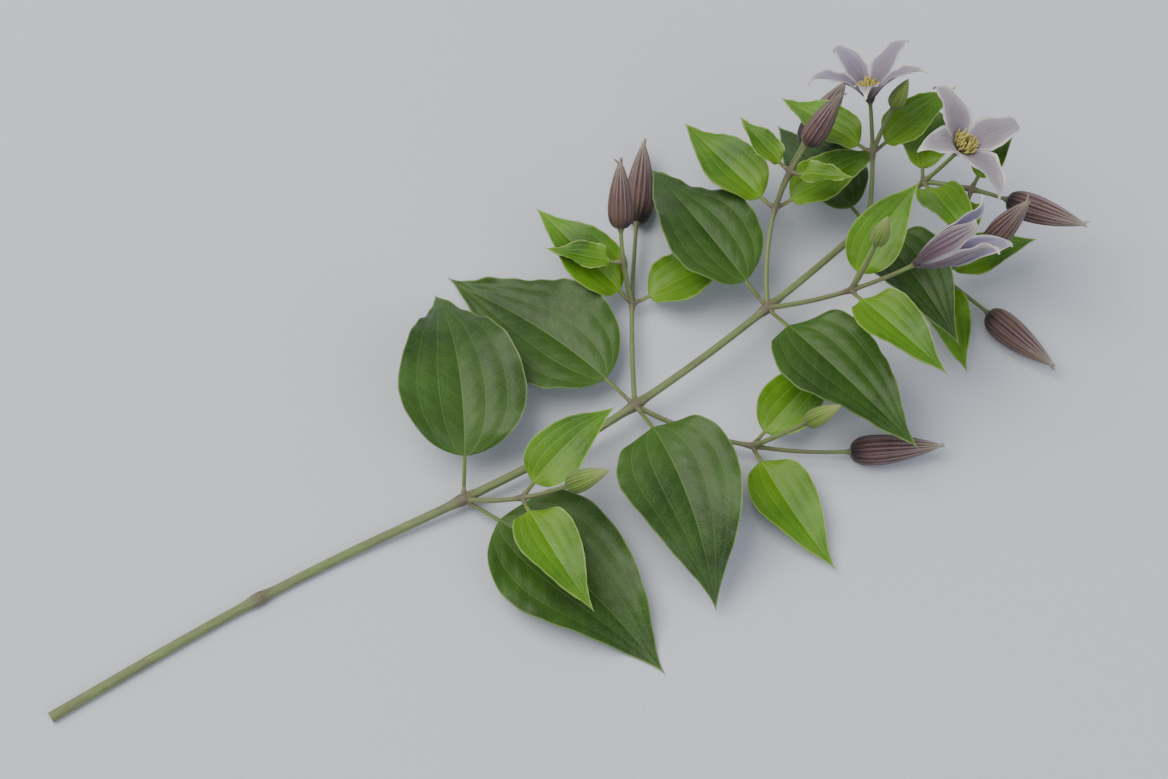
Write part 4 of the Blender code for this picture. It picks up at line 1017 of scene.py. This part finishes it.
for name, bloom in BLOOMS.items():
    rng = random.Random("stamens " + name)
    bm = sprout()
    floor = RECEPTACLE_HEIGHT + SEAT_GAP
    spread = (bloom.lean[0] + bloom.lean[1]) / 2
    for index in range(STAMENS + STYLES):
        style = index < STYLES
        turn = GOLDEN_ANGLE * index
        out = Vector((math.cos(turn), math.sin(turn), 0))
        if style:
            share = (index + 0.5) / STYLES
            lean = math.radians(STYLE_LEAN * share)
            reach = bloom.crown * rng.uniform(*STYLE_LENGTHS)
            crowding, bending = STYLE_CROWDING, STYLE_BENDING
        else:
            share = INNERMOST + (1 - INNERMOST) * (index - STYLES + 0.5) / STAMENS
            lean = math.radians(STAMEN_LEAN + spread * SPREADING * share)
            reach = bloom.crown * (rng.uniform(*STAMEN_LENGTHS) * (1 - OUTER_SHORTENING * share))
            crowding, bending = 1.0, 1.0
        ahead = out * math.sin(lean) + Vector((0, 0, math.cos(lean)))
        root = Vector((0, 0, floor - ROOT_DEPTH)) + out * (ROOT_RING + ROOT_SPREAD * share) * crowding
        bend_by = STAMEN_BEND * rng.uniform(*BENDS) * bending
        sway = Vector((-out.y, out.x, 0)) * rng.uniform(-SWAY, SWAY)
        points, radii, kinds = [], [], []
        for step in range(THREAD_STEPS + 1):
            up = step / THREAD_STEPS
            points.append(root + ahead * reach * up - out * bend_by * up**4 + sway * up * up)
            thicker = eased((up - ANTHER_START) / ANTHER_SLOPES[0])
            thicker *= 1 - eased((up - ANTHER_END) / ANTHER_SLOPES[1])
            radii.append(STYLE_RADIUS if style else FILAMENT_RADIUS + ANTHER_SWELLING * thicker)
            kinds.append(STYLE if style else ANTHER * eased((up - YELLOW_START) / ANTHER_SLOPES[0]))
        grow(bm, points, radii, THREAD_SIDES, kinds)
    bmesh.ops.transform(bm, matrix=facing(spines[name], 0.0), verts=bm.verts)
    finished(bm, "stamens_of_" + name, stamen_skin, ["stamens_" + name])

# The floor: one wide sheet of plain studio paper, a cool light grey. It lies flat under the stem, a fifth
# of a millimetre lower, so that no leaf that touches the surface shares a plane with it.
FLOOR_SIZE = 8.0
FLOOR_DROP = 0.0002
bm = bmesh.new()
bmesh.ops.create_grid(bm, x_segments=1, y_segments=1, size=FLOOR_SIZE)
mesh = bpy.data.meshes.new("studio_paper")
bm.to_mesh(mesh)
bm.free()
# Uncoated paper is matt, and its fine tooth breaks the even grey.
paper, tree, shader = new_material("studio_paper", Roughness=0.85)
place = add(tree, "TexCoord", out="Object")
tooth = add(tree, "TexNoise", {"Vector": place, "Scale": 900.0, "Detail": 2.0})
tone = add(tree, "ValToRGB", {"Fac": tooth}, [(0.3, "#c6c9d1"), (0.7, "#cdd0d8")])
tree.links.new(tone, shader.inputs["Base Color"])
mesh.materials.append(paper)
floor_sheet = bpy.data.objects.new("studio_paper", mesh)
floor_sheet.location.z = -FLOOR_DROP
bpy.context.scene.collection.objects.link(floor_sheet)

# The lights: two soft boxes with cloth fronts on stands, a wide and slightly warm one overhead and to the
# left and a weaker, cooler one on the right. The pale room around them fills the shadows with a cold grey.
# Each light has its place, its width in metres, its power in watts and its colour.
LIGHTS = {
    "overhead_sheet": ((-1.11, -0.71, 2.68), 2.40, 92.0, "#fffaf2"),
    "right_sheet": ((2.39, 0.79, 1.58), 2.0, 24.0, "#eef2ff"),
}
LIT = Vector((0.01, 0.21, 0.02))
ROOM_STRENGTH = 0.68
for name, (where, size, power, colour) in LIGHTS.items():
    lamp = bpy.data.lights.new(name, "AREA")
    lamp.size = size
    lamp.energy = power
    lamp.color = linear(colour)[:3]
    lamp_object = bpy.data.objects.new(name, lamp)
    lamp_object.location = where
    lamp_object.rotation_euler = (LIT - Vector(where)).to_track_quat("-Z", "Y").to_euler()
    bpy.context.scene.collection.objects.link(lamp_object)
room = bpy.data.worlds.new("pale_room")
room.use_nodes = True
glow = room.node_tree.nodes["Background"]
glow.inputs["Color"].default_value = linear("#dfe4ee")
glow.inputs["Strength"].default_value = ROOM_STRENGTH
bpy.context.scene.world = room

# The camera looks down on the stem from its right, with the blossoms at the upper right of the picture.
# Its long lens keeps the sizes of near and far blossoms alike.
AZIMUTH, ELEVATION = math.radians(57), math.radians(62)
TARGET = Vector((-0.001, 0.220, 0.02))
DISTANCE = 1.23
LENS = 85
NEAREST = 0.05
back = Vector(
    (math.sin(AZIMUTH) * math.cos(ELEVATION), -math.cos(AZIMUTH) * math.cos(ELEVATION), math.sin(ELEVATION))
)
camera = bpy.data.cameras.new("studio_camera")
camera.lens = LENS
camera.clip_start = NEAREST
camera_object = bpy.data.objects.new("studio_camera", camera)
camera_object.location = TARGET + back * DISTANCE
camera_object.rotation_euler = (-back).to_track_quat("-Z", "Y").to_euler()
bpy.context.scene.collection.objects.link(camera_object)
bpy.context.scene.camera = camera_object
